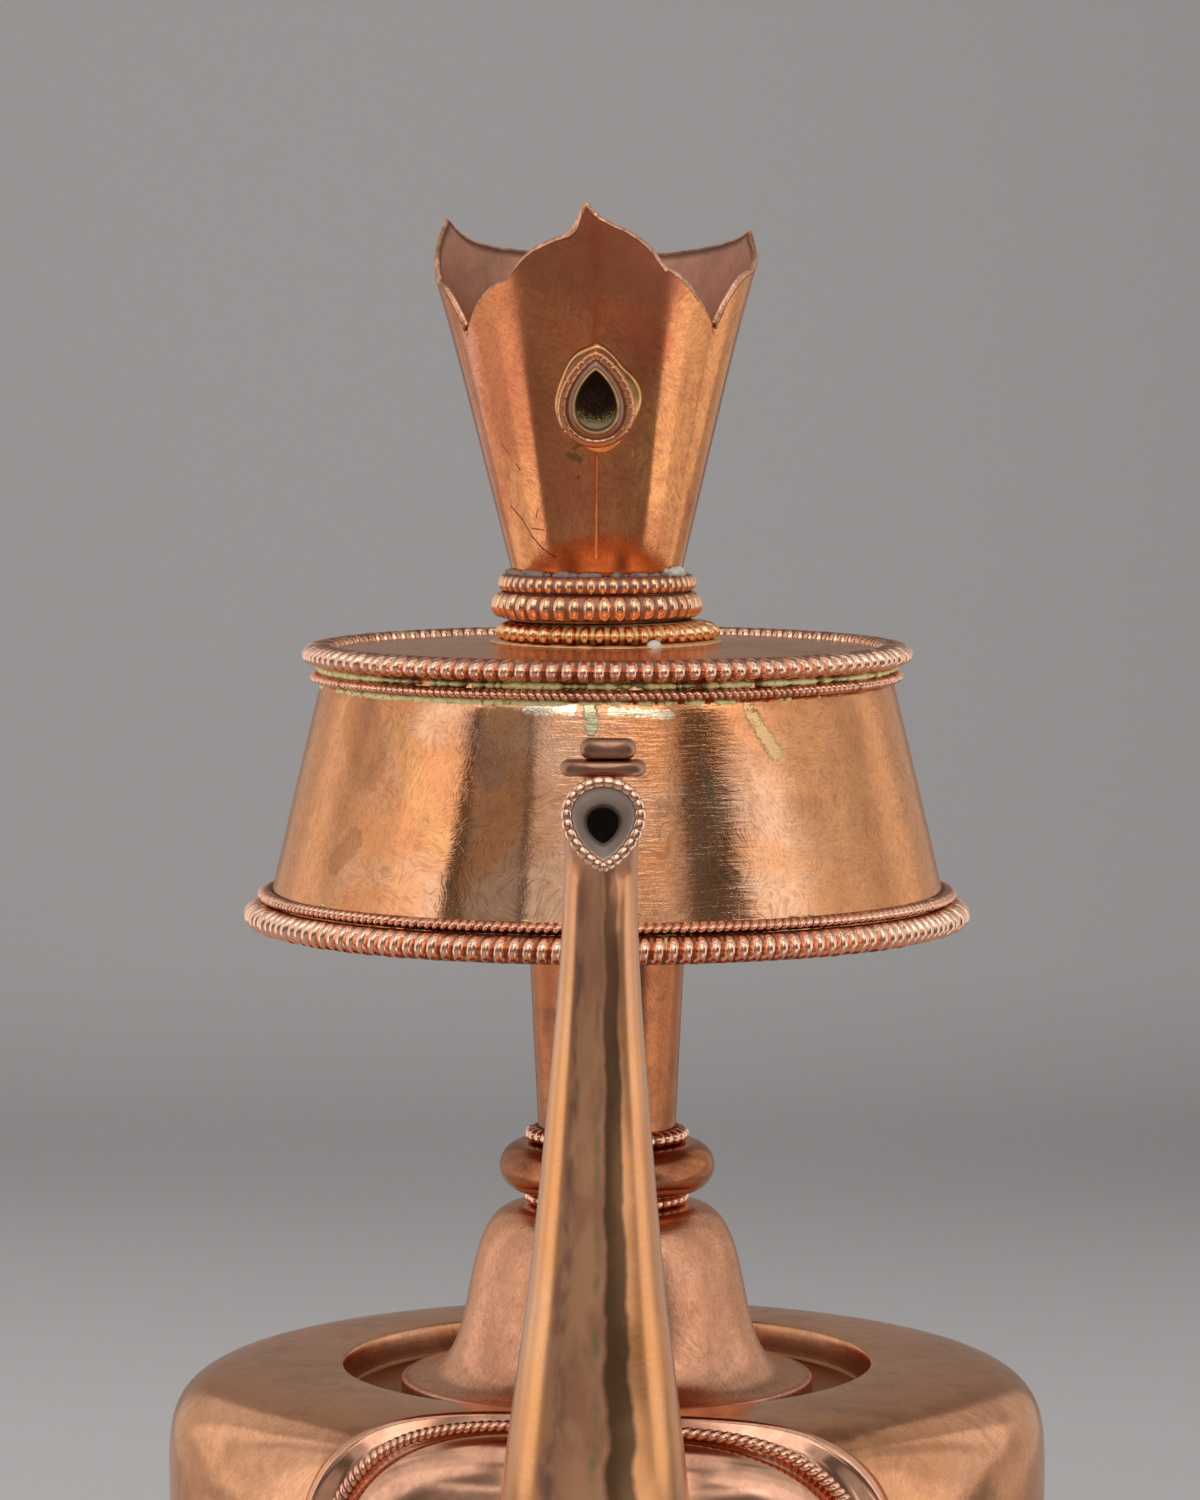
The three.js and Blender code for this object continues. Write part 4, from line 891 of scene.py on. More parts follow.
FINISHES = {
    "drum": sheet_finish("drum_copper", PINK, ORANGE, BROWN, 0.085, dents=0.05, stroke=0.003,
                         arcs=0.003, ripples=0.04, brown_share=0.3, streak_share=0.18,
                         dash_share=0.28, specks=0.93, stains_and_painted_light=DRUM_STAINS_AND_PAINTED_SHADE, smears_and_painted_light=DRUM_SMEARS_AND_PAINTED_HIGHLIGHTS,
                         matte=22.0),
    "cup": sheet_finish("cup_copper", CUP_ORANGE, CUP_RED, CUP_BROWN, 0.1, arcs=0.0015,
                        stroke=0.0055, brown_share=0.3, streak_share=0.35, dash_share=0.2,
                        edge=(RIM_PINK, RIM_BROWN), inner=(CUP_INSIDE, CUP_INSIDE_DARK),
                        stains_and_painted_light=CUP_STAINS_AND_PAINTED_LIGHT, smears_and_painted_light=CUP_SMEARS_AND_PAINTED_REFLECTION, dull=0.13),
    # The body's sunk colour is painted shade in the recess at the top of the belly.
    "body": sheet_finish("body_copper", (0.86, 0.43, 0.235), (0.78, 0.36, 0.17),
                         (0.45, 0.21, 0.12), 0.16, dents=0.09, brown_share=0.55,
                         streak_share=0.3, sunk=(0.22, 0.08, 0.038)),
    "dome": sheet_finish("medallion_copper", (0.92, 0.50, 0.32), (0.84, 0.40, 0.24),
                         (0.34, 0.15, 0.10), 0.16, dents=0.0, stroke=0.012,
                         brown_share=0.45, streak_share=0.3),
    "flange": sheet_finish("flange_copper", (0.84, 0.40, 0.25), (0.74, 0.33, 0.19),
                           (0.36, 0.15, 0.10), 0.4, dents=0.02, stroke=0.03,
                           brown_share=0.3, streak_share=0.35),
    "bell": sheet_finish("bell_copper", (0.89, 0.45, 0.27), (0.79, 0.36, 0.195),
                         (0.34, 0.16, 0.10), 0.25, dents=0.03, stroke=0.014, arcs=0.004,
                         brown_share=0.2, streak_share=0.3, dash_share=0.22),
    "disc": sheet_finish("disc_copper", DISC_COPPER, (0.80, 0.42, 0.24), BROWN, 0.24,
                         dents=0.02, stroke=0.003, arcs=0.0, brown_share=0.2),
    "neck": sheet_finish("neck_copper", (0.55, 0.185, 0.07), (0.48, 0.15, 0.055),
                         (0.20, 0.08, 0.045), 0.22, ripples=0.006, brown_share=0.55),
    "spout": spout_finish("spout_copper"),
    "finial": sheet_finish("finial_copper", ROSE, (0.50, 0.25, 0.16), DARK_BROWN, 0.35,
                           brown_share=0.8),
    "hidden": sheet_finish("hidden_copper", ROSE, BROWN, DARK_BROWN, 0.4),
    "wire": wire_finish("drum_wire_copper", (1.0, 0.61, 0.43), (0.87, 0.42, 0.25),
                        (0.34, 0.13, 0.075), 0.15, SOLDER_YELLOW, 0.3),
    "trim_wire": wire_finish("drum_trim_copper", (0.95, 0.53, 0.36), (0.80, 0.37, 0.22),
                             (0.26, 0.10, 0.06), 0.18, SOLDER_YELLOW, 0.2),
    "crown_wire": wire_finish("crown_wire_copper", (0.99, 0.58, 0.34), (0.90, 0.40, 0.18),
                              PURPLE_BROWN, 0.13),
    "stone_wire": wire_finish("stone_wire_copper", (0.72, 0.32, 0.16), (0.60, 0.22, 0.09),
                              (0.08, 0.025, 0.012), 0.24),
    "setting": sheet_finish("setting_copper", (0.88, 0.52, 0.22), (0.93, 0.46, 0.13),
                            BROWN, 0.24, dents=0.04, brown_share=0.5),
    "bezel": sheet_finish("bezel_copper", (0.66, 0.45, 0.36), (0.58, 0.38, 0.29),
                          (0.34, 0.22, 0.18), 0.5, dents=0.02, brown_share=0.4,
                          edge=((0.86, 0.55, 0.22), (0.55, 0.31, 0.13))),
    "solder_wire": wire_finish("soldered_ring", (0.93, 0.50, 0.27), (0.86, 0.40, 0.16),
                               (0.90, 0.68, 0.32), 0.15, (0.45, 0.33, 0.12), 0.3),
    "solder": solder_finish("run_solder", (0.98, 0.85, 0.38), (0.40, 0.27, 0.10), 0.06,
                            metallic=0.25),
    "bright_solder": solder_finish("socket_solder", (0.85, 0.57, 0.31),
                                   (0.70, 0.40, 0.20), 0.0, metallic=0.95, rise=0.06),
    "crust": solder_finish("foot_crust", (0.36, 0.24, 0.19), (0.14, 0.085, 0.065), 0.0,
                           metallic=0.0),
    "white_crust": solder_finish("white_crust", (0.80, 0.77, 0.70), (0.48, 0.42, 0.36),
                                 0.0, metallic=0.0),
    "stone_bed": stone_bed_finish("stone_cement"),
}


def dress(piece, body, slot, finish, *nodes):
    """Gives a piece its finish and its body, and hides the CAD nodes that it stands for. The slot
    is not used.
    """
    piece.data.materials.append(FINISHES[finish])
    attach(piece, body)
    if nodes:
        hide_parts(*nodes)
    return piece


def plain_ring(name, node, inner, corner, body, slot, finish, **turning):
    """A ring with square corners, as wide and as high as its CAD node."""
    profile = square_ring(inner, radius_of(node), foot_of(node), top_of(node))
    dress(turned(name, profile, corner, **turning), body, slot, finish, node)


def wire_ring(name, node, seat, beads, finish, rise=None, body="vase", slot="dark_copper",
              **wire):
    """A beaded wire as high as its CAD node, and as wide unless its rise is given."""
    foot = foot_of(node)
    rise = rise or radius_of(node) - seat
    ring = beaded_ring(name, seat, foot, top_of(node) - foot, rise, beads, **wire)
    dress(ring, body, slot, finish, node)


# Foot.

def make_foot():
    hem_radius, height = radius_of("foot_ring"), top_of("foot_ring")
    hem_height, wire_height, wire_rise = 1.4, 2.8, 2.6
    seat = hem_radius - wire_rise
    flare_foot = hem_height + wire_height
    top_radius, top_opening = 20.6, 12.0

    def flare(drop):
        return [(seat - drop - (seat - top_radius) * math.sin(t),
                 flare_foot - drop + (height - flare_foot) * (1 - math.cos(t)))
                for t in np.linspace(0, math.pi / 2, 24)]

    inner = seat - BODY_SHEET
    profile = [(hem_radius, 0), (hem_radius, hem_height), (seat, hem_height), *flare(0),
               (top_opening, height), (top_opening, height - BODY_SHEET),
               *reversed(flare(BODY_SHEET)), (inner, 0)]
    ring = turned("foot_shell", profile, 0.4, wobble=0.05)
    dress(ring, "vase", "polished_copper", "body", "foot_ring")
    plain_ring("foot_base", "base_plate", 0.01, 0.2, "vase", "dark_copper", "hidden")
    hem = beaded_ring("foot_beads", seat, hem_height, wire_height, wire_rise, 130)
    dress(hem, "vase", "dark_copper", "wire", "foot_beaded_wire")
    waist = beaded_ring("waist_beads", WAIST_RADIUS, height, top_of("waist_beaded_wire") - height,
                        2.4, 68)
    dress(waist, "vase", "dark_copper", "wire", "waist_beaded_wire")


# Belly.

def underside(inset, steps, upper):
    """The belly's line below its widest part: from the waist to the seam, or on to the widest."""
    across = BELLY_RADIUS - BELLY_LOWER_CENTRE - inset
    waist_turn = math.acos((WAIST_RADIUS - BELLY_LOWER_CENTRE - inset) / across)
    reach = (BELLY_LOWER_HEIGHT - inset) / math.sin(waist_turn)
    seam_turn = math.asin((EQUATOR - BELLY_SEAM) / reach)
    start, end = (seam_turn, 0) if upper else (waist_turn, seam_turn)
    return [(BELLY_LOWER_CENTRE + across * math.cos(t), EQUATOR - reach * math.sin(t))
            for t in np.linspace(start, end, steps)]


def shoulder(inset, steps):
    across = BELLY_RADIUS - RECESS_RADIUS - inset
    rise = SHOULDER_HEIGHT - inset
    power = 2 / SHOULDER_SQUARENESS
    turns = np.linspace(0, math.pi / 2, steps)
    return [(RECESS_RADIUS + across * max(math.cos(t), 0) ** power,
             EQUATOR + rise * math.sin(t) ** power) for t in turns]


def make_belly():
    foot = foot_of("belly_bowl")
    bowl = [(0.01, foot), (WAIST_RADIUS, foot), *underside(0, 40, False),
            *reversed(underside(BODY_SHEET, 30, False)),
            (WAIST_RADIUS - BODY_SHEET, foot + BODY_SHEET), (0.01, foot + BODY_SHEET)]
    dress(turned("belly_lower_half", bowl, 0.2, wobble=0.08), "vase", "polished_copper", "body",
          "belly_bowl")
    floor = foot_of("neck_flange")
    mouth = 21.0
    inside = [(max(r, RECESS_WALL_RADIUS + BODY_SHEET), z)
              for r, z in reversed(shoulder(BODY_SHEET, 40))]
    top = EQUATOR + SHOULDER_HEIGHT
    recess_wall = [(RECESS_RADIUS - RECESS_WALL_SLOPE * drop, top - drop)
                   for drop in (0.9, 1.7, 2.6)]
    upper = [*underside(0, 30, True), *shoulder(0, 70)[1:], *recess_wall,
             (RECESS_WALL_RADIUS, floor), (mouth, floor), (mouth, floor - BODY_SHEET),
             (RECESS_WALL_RADIUS + BODY_SHEET, floor - BODY_SHEET), *inside,
             *list(reversed(underside(BODY_SHEET, 20, True)))[1:]]
    # The sunk mark is painted shade, deepening down the recess wall and over its floor.
    piece = turned("belly_upper_half", upper, 0.5, wobble=0.08, marks={
        "sunk": lambda radius, height: ((radius < RECESS_RADIUS + 0.1) * np.clip(
            (top - 0.4 - height) / 1.4, 0, 1) * (height > floor - 0.1))})
    dress(piece, "vase", "polished_copper", "body", "belly_shoulder")


# The belly's skin from the waist up, with its lengths counted from its widest line.
LOWER_SKIN = underside(0, 200, False) + underside(0, 200, True)[1:]
SKIN = np.array(LOWER_SKIN + shoulder(0, 400)[1:])
SKIN_LENGTH = lengths_along(SKIN)
SKIN_LENGTH -= SKIN_LENGTH[len(LOWER_SKIN) - 1]
SKIN_RUN = np.gradient(SKIN, axis=0)
SKIN_RUN /= np.hypot(*SKIN_RUN.T)[:, None]


def on_belly(above, sideways, rise):
    """Points off the belly's skin: above its widest line, sideways round it, and out of it."""
    radius, height, run_out, run_up = (
        np.interp(above, SKIN_LENGTH, column)
        for column in (SKIN[:, 0], SKIN[:, 1], SKIN_RUN[:, 0], SKIN_RUN[:, 1]))
    radius = radius + run_up * rise
    return round_axis(radius, sideways / BELLY_RADIUS, height - run_out * rise)


def medallion_oval(share, growth):
    angle = share * FULL_TURN
    power = 2 / MEDALLION_ROUNDNESS

    def curved(value):
        return np.sign(value) * np.abs(value) ** power

    across = (MEDALLION_HALF_WIDTH + growth) * curved(np.cos(angle))
    along = (MEDALLION_HALF_HEIGHT + growth) * curved(np.sin(angle))
    cos, sin = math.cos(MEDALLION_TILT), math.sin(MEDALLION_TILT)
    return (across * cos - along * sin - MEDALLION_SHIFT,
            across * sin + along * cos - MEDALLION_DROP)


def make_medallion():
    share = np.linspace(0, 1, 360, endpoint=False)
    section = [(5.2, -0.6), (5.2, 0.2), (5.0, 0.7), (4.4, 1.3), (3.6, 2.2), (3.0, 2.4), (2.4, 2.1),
               (1.8, 1.3), (1.2, 1.1), (0.0, 1.0), (-1.0, 1.1), (-1.3, 1.5), (-1.6, 2.2),
               (-2.3, 2.8), (-3.6, 3.3), (-5.4, 3.8), (-7.8, 4.2), (-10.0, 4.3), (-12.4, 4.2),
               (-12.4, -0.6)]
    rows = []
    for growth, rise in section:
        sideways, above = medallion_oval(share, growth)
        rows.append(on_belly(above, sideways, rise))
    plate = make_grid("medallion_dome", rows)
    dress(plate, "vase", "polished_copper", "dome", "medallion_plate")
    strands, steps, width, rise, seat = 172, 1892, 1.75, 1.35, 1.35
    along = np.linspace(0, 1, steps, endpoint=False)
    sideways, above = medallion_oval(along, 0)
    centre = on_belly(above, sideways, seat)
    out = on_belly(above, sideways, seat + 1) - centre
    out /= np.linalg.norm(out, axis=1)[:, None]
    crests = []

    def twisted(turn):
        crests.append(0.5 + 0.5 * np.cos(along * strands * FULL_TURN - 2 * turn))
        return 0.78 + 0.22 * crests[-1] ** 0.6

    rows = wire_rows(centre, out, width, rise, rise / 2, 14, twisted)
    rope = make_grid("medallion_rope", rows, marks={"crest": np.array(crests)})
    dress(rope, "vase", "dark_copper", "trim_wire", "medallion_rope_wire")


# Spout.

SPOUT_LINE = [
    np.array([-(SPOUT_ROOT_SHIFT + (SPOUT_MOUTH_SHIFT - SPOUT_ROOT_SHIFT)
                * i / (len(SPOUT_STATIONS) - 1)),
              -(BELLY_RADIUS + forward), EQUATOR + up])
    for i, (forward, up, _) in enumerate(SPOUT_STATIONS)
]
SPOUT_DIAMETERS = [np.array([width]) for _, _, width in SPOUT_STATIONS]


def spout_frame(t):
    centre = curve_point(SPOUT_LINE, t)
    ahead = curve_point(SPOUT_LINE, min(t + 0.002, 1)) - curve_point(SPOUT_LINE, t - 0.002)
    ahead /= np.linalg.norm(ahead)
    up = np.array([0, ahead[2], -ahead[1]])
    return centre, ahead, up / np.linalg.norm(up)


def spout_ring(t, inset, share):
    centre, _, up = spout_frame(t)
    to_mouth = np.linalg.norm(SPOUT_LINE[-1] - centre)
    near = max(0.0, 1 - to_mouth / MOUTH_TAPER)
    width = curve_point(SPOUT_DIAMETERS, t)[0] - inset * 2
    length = width * (1 + (MOUTH_STRETCH - 1) * near)
    across, along = teardrop(share, width, -length, MOUTH_POINT * near)
    return centre + np.outer(across, [1, 0, 0]) + np.outer(along, up)


def make_spout():
    columns, outer_rows, inner_rows = 96, 220, 100
    share = np.linspace(-0.5, 0.5, columns, endpoint=False)
    outside = [spout_ring(t, 0, share) for t in np.linspace(0, 1, outer_rows)]
    lip = [spout_ring(1, SPOUT_WALL * k / 4, share) for k in (1, 2, 3)]
    funnel = [spout_ring(1 - MOUTH_FUNNEL_DEPTH * k / 4, SPOUT_WALL + MOUTH_FUNNEL_STEP * k / 4,
                         share) for k in (0, 1, 2, 3, 4)]
    inside = [spout_ring(t, SPOUT_WALL, share)
              for t in np.linspace(1 - MOUTH_FUNNEL_DEPTH * 1.5, 0, inner_rows)]
    rows = outside + lip + funnel + inside
    bore = np.array([0.0] * len(outside) + [0.5] * len(lip) + [1.0] * len(funnel + inside))
    across = np.linspace(-0.5, 0.5, columns + 1) * SPOUT_SKIN_WIDTH
    middles = [np.mean(row, axis=0) for row in rows]
    along = lengths_along([*middles, middles[0]])
    tube = make_grid("spout_body", rows, marks={"bore": bore[:, None]},
                     skin=(across[None, :], along[:, None]))
    dress(tube, "vase", "spout_copper", "spout", "spout_tube")
    centre, ahead, up = spout_frame(1)
    beads, steps = 26, 10
    rim_width, rim_rise, overhang = 1.2, 1.0, 0.7
    around = np.arange(beads * steps) / (beads * steps)
    width = SPOUT_STATIONS[-1][2] + overhang - rim_width
    across, along = teardrop(around, width, -width * MOUTH_STRETCH, MOUTH_POINT)
    line = centre + ahead * 0.15 + np.outer(across, [1, 0, 0]) + np.outer(along, up)
    crest = np.sin(np.pi * (np.arange(beads * steps) / steps % 1)) ** 0.6
    rows = wire_rows(line, ahead, rim_width, rim_rise, rim_rise * 0.4, 12,
                     lambda turn: 0.8 + 0.2 * crest)
    rim = make_grid("spout_rim", rows, marks={"crest": crest[None, :]})
    dress(rim, "vase", "dark_copper", "wire", "spout_mouth_wire")
    for name, node in (("spout_bar", "spout_finial_bar"), ("spout_scroll", "spout_finial_scroll")):
        make_scroll(name, node)
    make_bar_solder()


def make_bar_solder():
    """The solder between the bar and the top of the spout, which slopes away below it."""
    low, high = (np.array(v) for v in span("spout_finial_bar"))
    share = np.linspace(-0.5, 0.5, 96, endpoint=False)
    rings = [spout_ring(t, 0, share) for t in np.linspace(1, 0.9, 60)]
    crests = np.array([ring[ring[:, 2].argmax()] for ring in rings])
    order = crests[:, 1].argsort()
    turns = np.linspace(0, FULL_TURN, 48, endpoint=False)
    half_width, half_depth, sunk, tube_width = 2.0, 1.8, 0.3, 8
    rows = []
    for reach, climb in ((0.05, 0), (1.25, 0), (1.05, 0.3), (1.0, 0.6), (1.1, 1), (0.05, 1)):
        x = np.cos(turns) * half_width * reach
        y = (low[1] + high[1]) / 2 + np.sin(turns) * half_depth * reach
        crest = np.interp(y, crests[order, 1], crests[order, 2])
        ground = crest - x ** 2 / tube_width - sunk
        height = ground + (low[2] + 0.4 - ground) * climb
        rows.append(np.stack([x + (low[0] + high[0]) / 2, y, height], axis=1))
    lump = make_grid("spout_bar_solder", rows, rows_close=False)
    dress(lump, "vase", "dark_copper", "finial")


def make_scroll(name, node):
    """A small bar with round ends across the spout, softened by files and polish."""
    low, high = (np.array(v) for v in span(node))
    centre, half = (low + high) / 2, (high - low) / 2
    steps = 40
    turns = np.linspace(0, FULL_TURN, steps, endpoint=False)
    flat = half[0] - half[2]
    outline = np.stack([np.cos(turns) * half[2] + np.sign(np.cos(turns)) * flat,
                        np.sin(turns) * half[2]], axis=1)
    rows = []
    for k in np.linspace(-1, 1, 15):
        shrink = 1 - 0.35 * abs(k) ** 4
        rows.append([[centre[0] + x * shrink, centre[1] + k * half[1], centre[2] + z * shrink]
                     for x, z in outline])
    ends = [np.repeat([np.mean(row, axis=0)], steps, axis=0) for row in (rows[0], rows[-1])]
    rows = [ends[0], *rows, ends[1]]
    bar = make_grid(name, np.array(rows), rows_close=False)
    dress(bar, "vase", "dark_copper", "finial", node)


# Neck.

def bezier(points, steps):
    p = [np.array(point, float) for point in points]
    return [tuple(p[0] * (1 - t) ** 3 + p[1] * 3 * t * (1 - t) ** 2 + p[2] * 3 * t ** 2 * (1 - t)
                  + p[3] * t ** 3) for t in np.linspace(0, 1, steps)]


def bell_line(inset, steps, foot, top):
    waist = foot + BELL_WAIST_HEIGHT
    flare = bezier([(BELL_FOOT_RADIUS - inset, foot), (BELL_FOOT_RADIUS - inset - 5.2, foot + 0.4),
                    (BELL_WAIST_RADIUS - inset + 1.2, waist - 6.0),
                    (BELL_WAIST_RADIUS - inset, waist)], steps)
    turn_over = bezier([(BELL_WAIST_RADIUS - inset, waist),
                        (BELL_WAIST_RADIUS - inset - 1.0, waist + 5.0),
                        (BELL_TOP_RADIUS - inset + 4.5, top - inset),
                        (BELL_TOP_RADIUS - inset, top - inset)], steps)
    return flare + turn_over[1:]


def make_neck():
    plain_ring("bell_foot_disc", "neck_flange", NECK_BORE_RADIUS, 0.5, "vase",
               "polished_copper", "flange", wobble=0.05)
    foot, top = foot_of("neck_bell"), top_of("neck_bell")
    profile = bell_line(0, 36, foot, top) + [(NECK_BORE_RADIUS, top),
                                             (NECK_BORE_RADIUS, top - BODY_SHEET)]
    profile += reversed(bell_line(BODY_SHEET, 24, foot, top))
    dress(turned("bell", profile, 0.2, wobble=0.06), "vase", "polished_copper", "bell",
          "neck_bell")
    neck_radius = NECK_BORE_RADIUS + NECK_SHEET
    for name, node, beads in (("knop_lower_beads", "knop_lower_wire", 40),
                              ("knop_upper_beads", "knop_upper_wire", 38)):
        wire_ring(name, node, neck_radius, beads, "wire", rise=1.6)
    foot, top, radius = foot_of("knop"), top_of("knop"), radius_of("knop")
    middle, round_part = (foot + top) / 2, 2.8
    profile = [(radius - round_part + round_part * math.cos(t), middle + (top - foot) / 2
                * math.sin(t)) for t in np.linspace(-math.pi / 2, math.pi / 2, 30)]
    profile = [(neck_radius, foot), *profile, (neck_radius, top)]
    dress(turned("knop_collar", profile, 0.1, wobble=0.04), "vase", "polished_copper", "neck",
          "knop")
    foot, top = foot_of("neck_column"), top_of("neck_column")
    start = top_of("knop_upper_wire")
    head = radius_of("neck_column")
    column = turned("neck_tube", [(neck_radius, foot), (neck_radius, start), (head, top),
                                  (head - NECK_SHEET, top), (NECK_BORE_RADIUS, start),
                                  (NECK_BORE_RADIUS, foot)], 0.1, wobble=0.04)
    dress(column, "vase", "polished_copper", "neck", "neck_column")


# Drum.

SEAM_STEPS = 1080
SEAM_ANGLES = np.linspace(-math.pi, math.pi, SEAM_STEPS, endpoint=False)


def solder_seam(name, body, radius, height, depth, thickness, share, axis_x=0.0, lumps=90,
                finish="solder"):
    """A thin ragged ring of solder that hugs a wall. Its sizes and the share of it that shows
    are the same all round or are given for each of the seam's angles."""
    angles = SEAM_ANGLES
    noise = np.zeros(SEAM_STEPS)
    for lump, weight in ((lumps // 9, 0.55), (lumps // 3, 0.5), (lumps, 0.4), (lumps * 3, 0.25)):
        knots = rng.normal(0, 1, lump)
        noise += weight * np.interp((angles + math.pi) / FULL_TURN * lump, np.arange(lump + 1),
                                    np.append(knots, knots[0]))
    size = np.clip(noise + share, 0, 1.3)
    rows = []
    for turn in np.linspace(0, math.pi, 7):
        grit = rng.normal(0, 0.05, SEAM_STEPS) * np.minimum(size, 1)
        out = (radius - 0.25 + grit
               + (0.25 + thickness) * np.sin(turn) * np.minimum(size * 1.5, 1))
        level = height - np.cos(turn) * depth / 2 * (0.2 + size)
        rows.append(round_axis(out, angles, level, axis_x))
    for level in (height + depth * 0.1, height - depth * 0.1):
        rows.append(round_axis(radius - 0.4, angles, level, axis_x))
    dress(make_grid(name, rows), body, "soldered_brass", finish)


def make_drum():
    foot, top = foot_of("drum_wall"), top_of("drum_wall")
    wide, narrow = radius_of("drum_wall"), radius_of("drum_top_disc")
    plate_foot, disc_top = foot_of("drum_underside"), top_of("drum_top_disc")

    def wall(height):
        return wide + (narrow - wide) * (height - foot) / (top - foot)

    levels = np.linspace(foot, top, 120)
    bow = DRUM_BOW * np.sin((levels - foot) / (top - foot) * math.pi)
    rolled = np.clip(levels - ROLL_FOOT, 0, foot_of("drum_upper_trim") - ROLL_FOOT)
    outside = [(wall(z) + b - ROLL_BEND * r ** 2, z) for z, b, r in zip(levels, bow, rolled)]
    inside = [(wall(z) - BODY_SHEET, z) for z in levels[::-6]]
    dress(turned("drum_side", outside + inside, 0, wobble=0.06), "vase", "polished_copper",
          "drum", "drum_wall")
    under = turned("drum_bottom", square_ring(NECK_BORE_RADIUS, wide, plate_foot, foot), 0.3)
    dress(under, "vase", "dark_copper", "neck", "drum_underside")
    hole, rim = radius_of("socket_tube"), narrow - DISC_RIM_INSET
    dish = [(r, disc_top - DISC_DISH * ((r - hole) / (narrow - hole)) ** 1.5)
            for r in np.linspace(rim, hole, 24)]
    sheet_foot = top - DISC_SHEET
    disc = turned("drum_disc", [(hole, sheet_foot), (rim, sheet_foot), *dish], 0.1)
    dress(disc, "vase", "polished_copper", "disc", "drum_top_disc")
    for name, node, finish, beads, wire in (
            ("drum_lower_beads", "drum_lower_wire", "wire", 162, {"lean": 0.1, "fill": 0.62}),
            ("drum_lower_fine_beads", "drum_lower_trim", "trim_wire", 250,
             {"lean": 0.3, "fill": 0.68, "steps": 8}),
            ("drum_upper_fine_beads", "drum_upper_trim", "trim_wire", 240,
             {"lean": -0.25, "fill": 0.7, "uneven": 0.09, "steps": 8}),
            ("drum_upper_beads", "drum_upper_wire", "wire", 122,
             {"lean": 0.04, "fill": 0.6, "back": 1.3})):
        seat = wall(max(foot_of(node), foot))
        rise = radius_of(node) - seat + (0.3 if "back" in wire else 0)
        wire_ring(name, node, seat, beads, finish, rise, **wire)

    side = np.sin(SEAM_ANGLES)
    wire_foot, trim_foot = foot_of("drum_upper_wire"), foot_of("drum_upper_trim")
    between = (top_of("drum_upper_trim") + wire_foot) / 2
    for name, level, inset, depth, thickness, share, lumps in (
            ("upper_wire_solder", wire_foot - 0.15, 0, 0.55, 0.22, 0.45 - 0.2 * side, 90),
            ("upper_trim_solder", trim_foot - 0.25, 0.1, 0.9, 0.3,
             0.5 - 0.7 * np.clip(side, -0.5, 0.8), 180),
            ("upper_trim_top_solder", between, 0, 0.9, 0.95, 1.2 - 0.3 * side, 180),
            ("lower_trim_solder", top_of("drum_lower_trim") + 0.05, 0, 0.4, 0.12, -0.5, 90)):
        solder_seam(name, "vase", wall(level) - inset, level, depth, thickness, share,
                    lumps=lumps)


# Socket and crown.

def make_socket():
    tube = radius_of("socket_tube")
    plain_ring("socket_sleeve", "socket_tube", tube - SOCKET_SHEET, 0.2, "vase",
               "dark_copper", "hidden")
    wire_ring("socket_beads", "socket_beaded_ring", tube, 45, "solder_wire",
              slot="soldered_brass", share=0.88, fullness=2.4)
    solder_seam("socket_solder", "vase", radius_of("socket_beaded_ring") - 0.5,
                foot_of("socket_beaded_ring") + 0.05, 0.5,
                0.8 + 0.3 * np.sin(SEAM_ANGLES * 3 + 1), 1.1, lumps=27, finish="bright_solder")
    make_drop(5.5, -12.1, top_of("drum_top_disc"))


def make_drop(x, y, level):
    """A drop of white residue on the disc beside the socket."""
    turns = np.linspace(0, FULL_TURN, 32, endpoint=False)
    radius = 0.9 * (1 + 0.06 * np.sin(turns * 2 + 1) + 0.04 * np.sin(turns * 5))
    rows = []
    for reach, rise in ((1.0, -0.2), (1.02, 0.1), (0.94, 0.38), (0.74, 0.66), (0.45, 0.84),
                        (0.2, 0.9), (0.0, 0.92)):
        rows.append(np.stack([x + radius * reach * np.cos(turns),
                              y + radius * reach * np.sin(turns),
                              level + rise + 0 * turns], axis=-1))
    drop = make_grid("disc_drop", rows, rows_close=False)
    dress(drop, "vase", "soldered_brass", "white_crust")


def tip_distance(off):
    """The angle off a tip, made blunt close to it."""
    return math.hypot(off, TIP_ROUND) - TIP_ROUND


def petal_edge(off, half, side, notch):
    """Height of a petal's edge at an angle from its tip: flank, cusp, then the lobe's fall."""
    cusp_angle, cusp, rise, fullness, point, reach = FLANKS[side]
    if off > cusp_angle:
        share = (off - cusp_angle) / (half - cusp_angle)
        return cusp + (notch - cusp) * min(share, 1) ** LOBE_FULLNESS[side]
    share = off / cusp_angle
    return (cusp + rise * (1 - share ** fullness)
            + point * math.exp(-tip_distance(off) / reach) * (1 - share))


def rim_height(angle):
    """The cup's edge above its foot, at an angle from the front petal's tip."""
    angle = (angle + math.pi) % FULL_TURN - math.pi
    off = abs(angle)
    half, side, notch, rear = ((RIGHT_HALF_PETAL, "right", RIGHT_NOTCH, RIGHT_REAR) if angle > 0
                               else (LEFT_HALF_PETAL, "left", LEFT_NOTCH, LEFT_REAR))
    if off < half:
        climb = petal_edge(off, half, "front_" + side, notch)
    elif off < half * 2:
        climb = petal_edge(half * 2 - off, half, side, notch)
    else:
        past = off - half * 2
        rise, fullness, point, reach = rear
        hollow = max(1 - past / (math.pi - half * 2), 0) ** fullness
        climb = REAR_EDGE + rise * hollow + point * math.exp(-tip_distance(past) / reach)
    return climb


def cup_point(angle, climb, inset, foot):
    radius = CUP_FOOT_RADIUS + climb * CUP_TAPER + CUP_FLARE * (climb / FRONT_TIP) ** 6 - inset
    lean = CUP_LEAN * climb / FRONT_TIP + CROWN_SHIFT
    return round_axis(radius, angle, foot + climb, -lean)


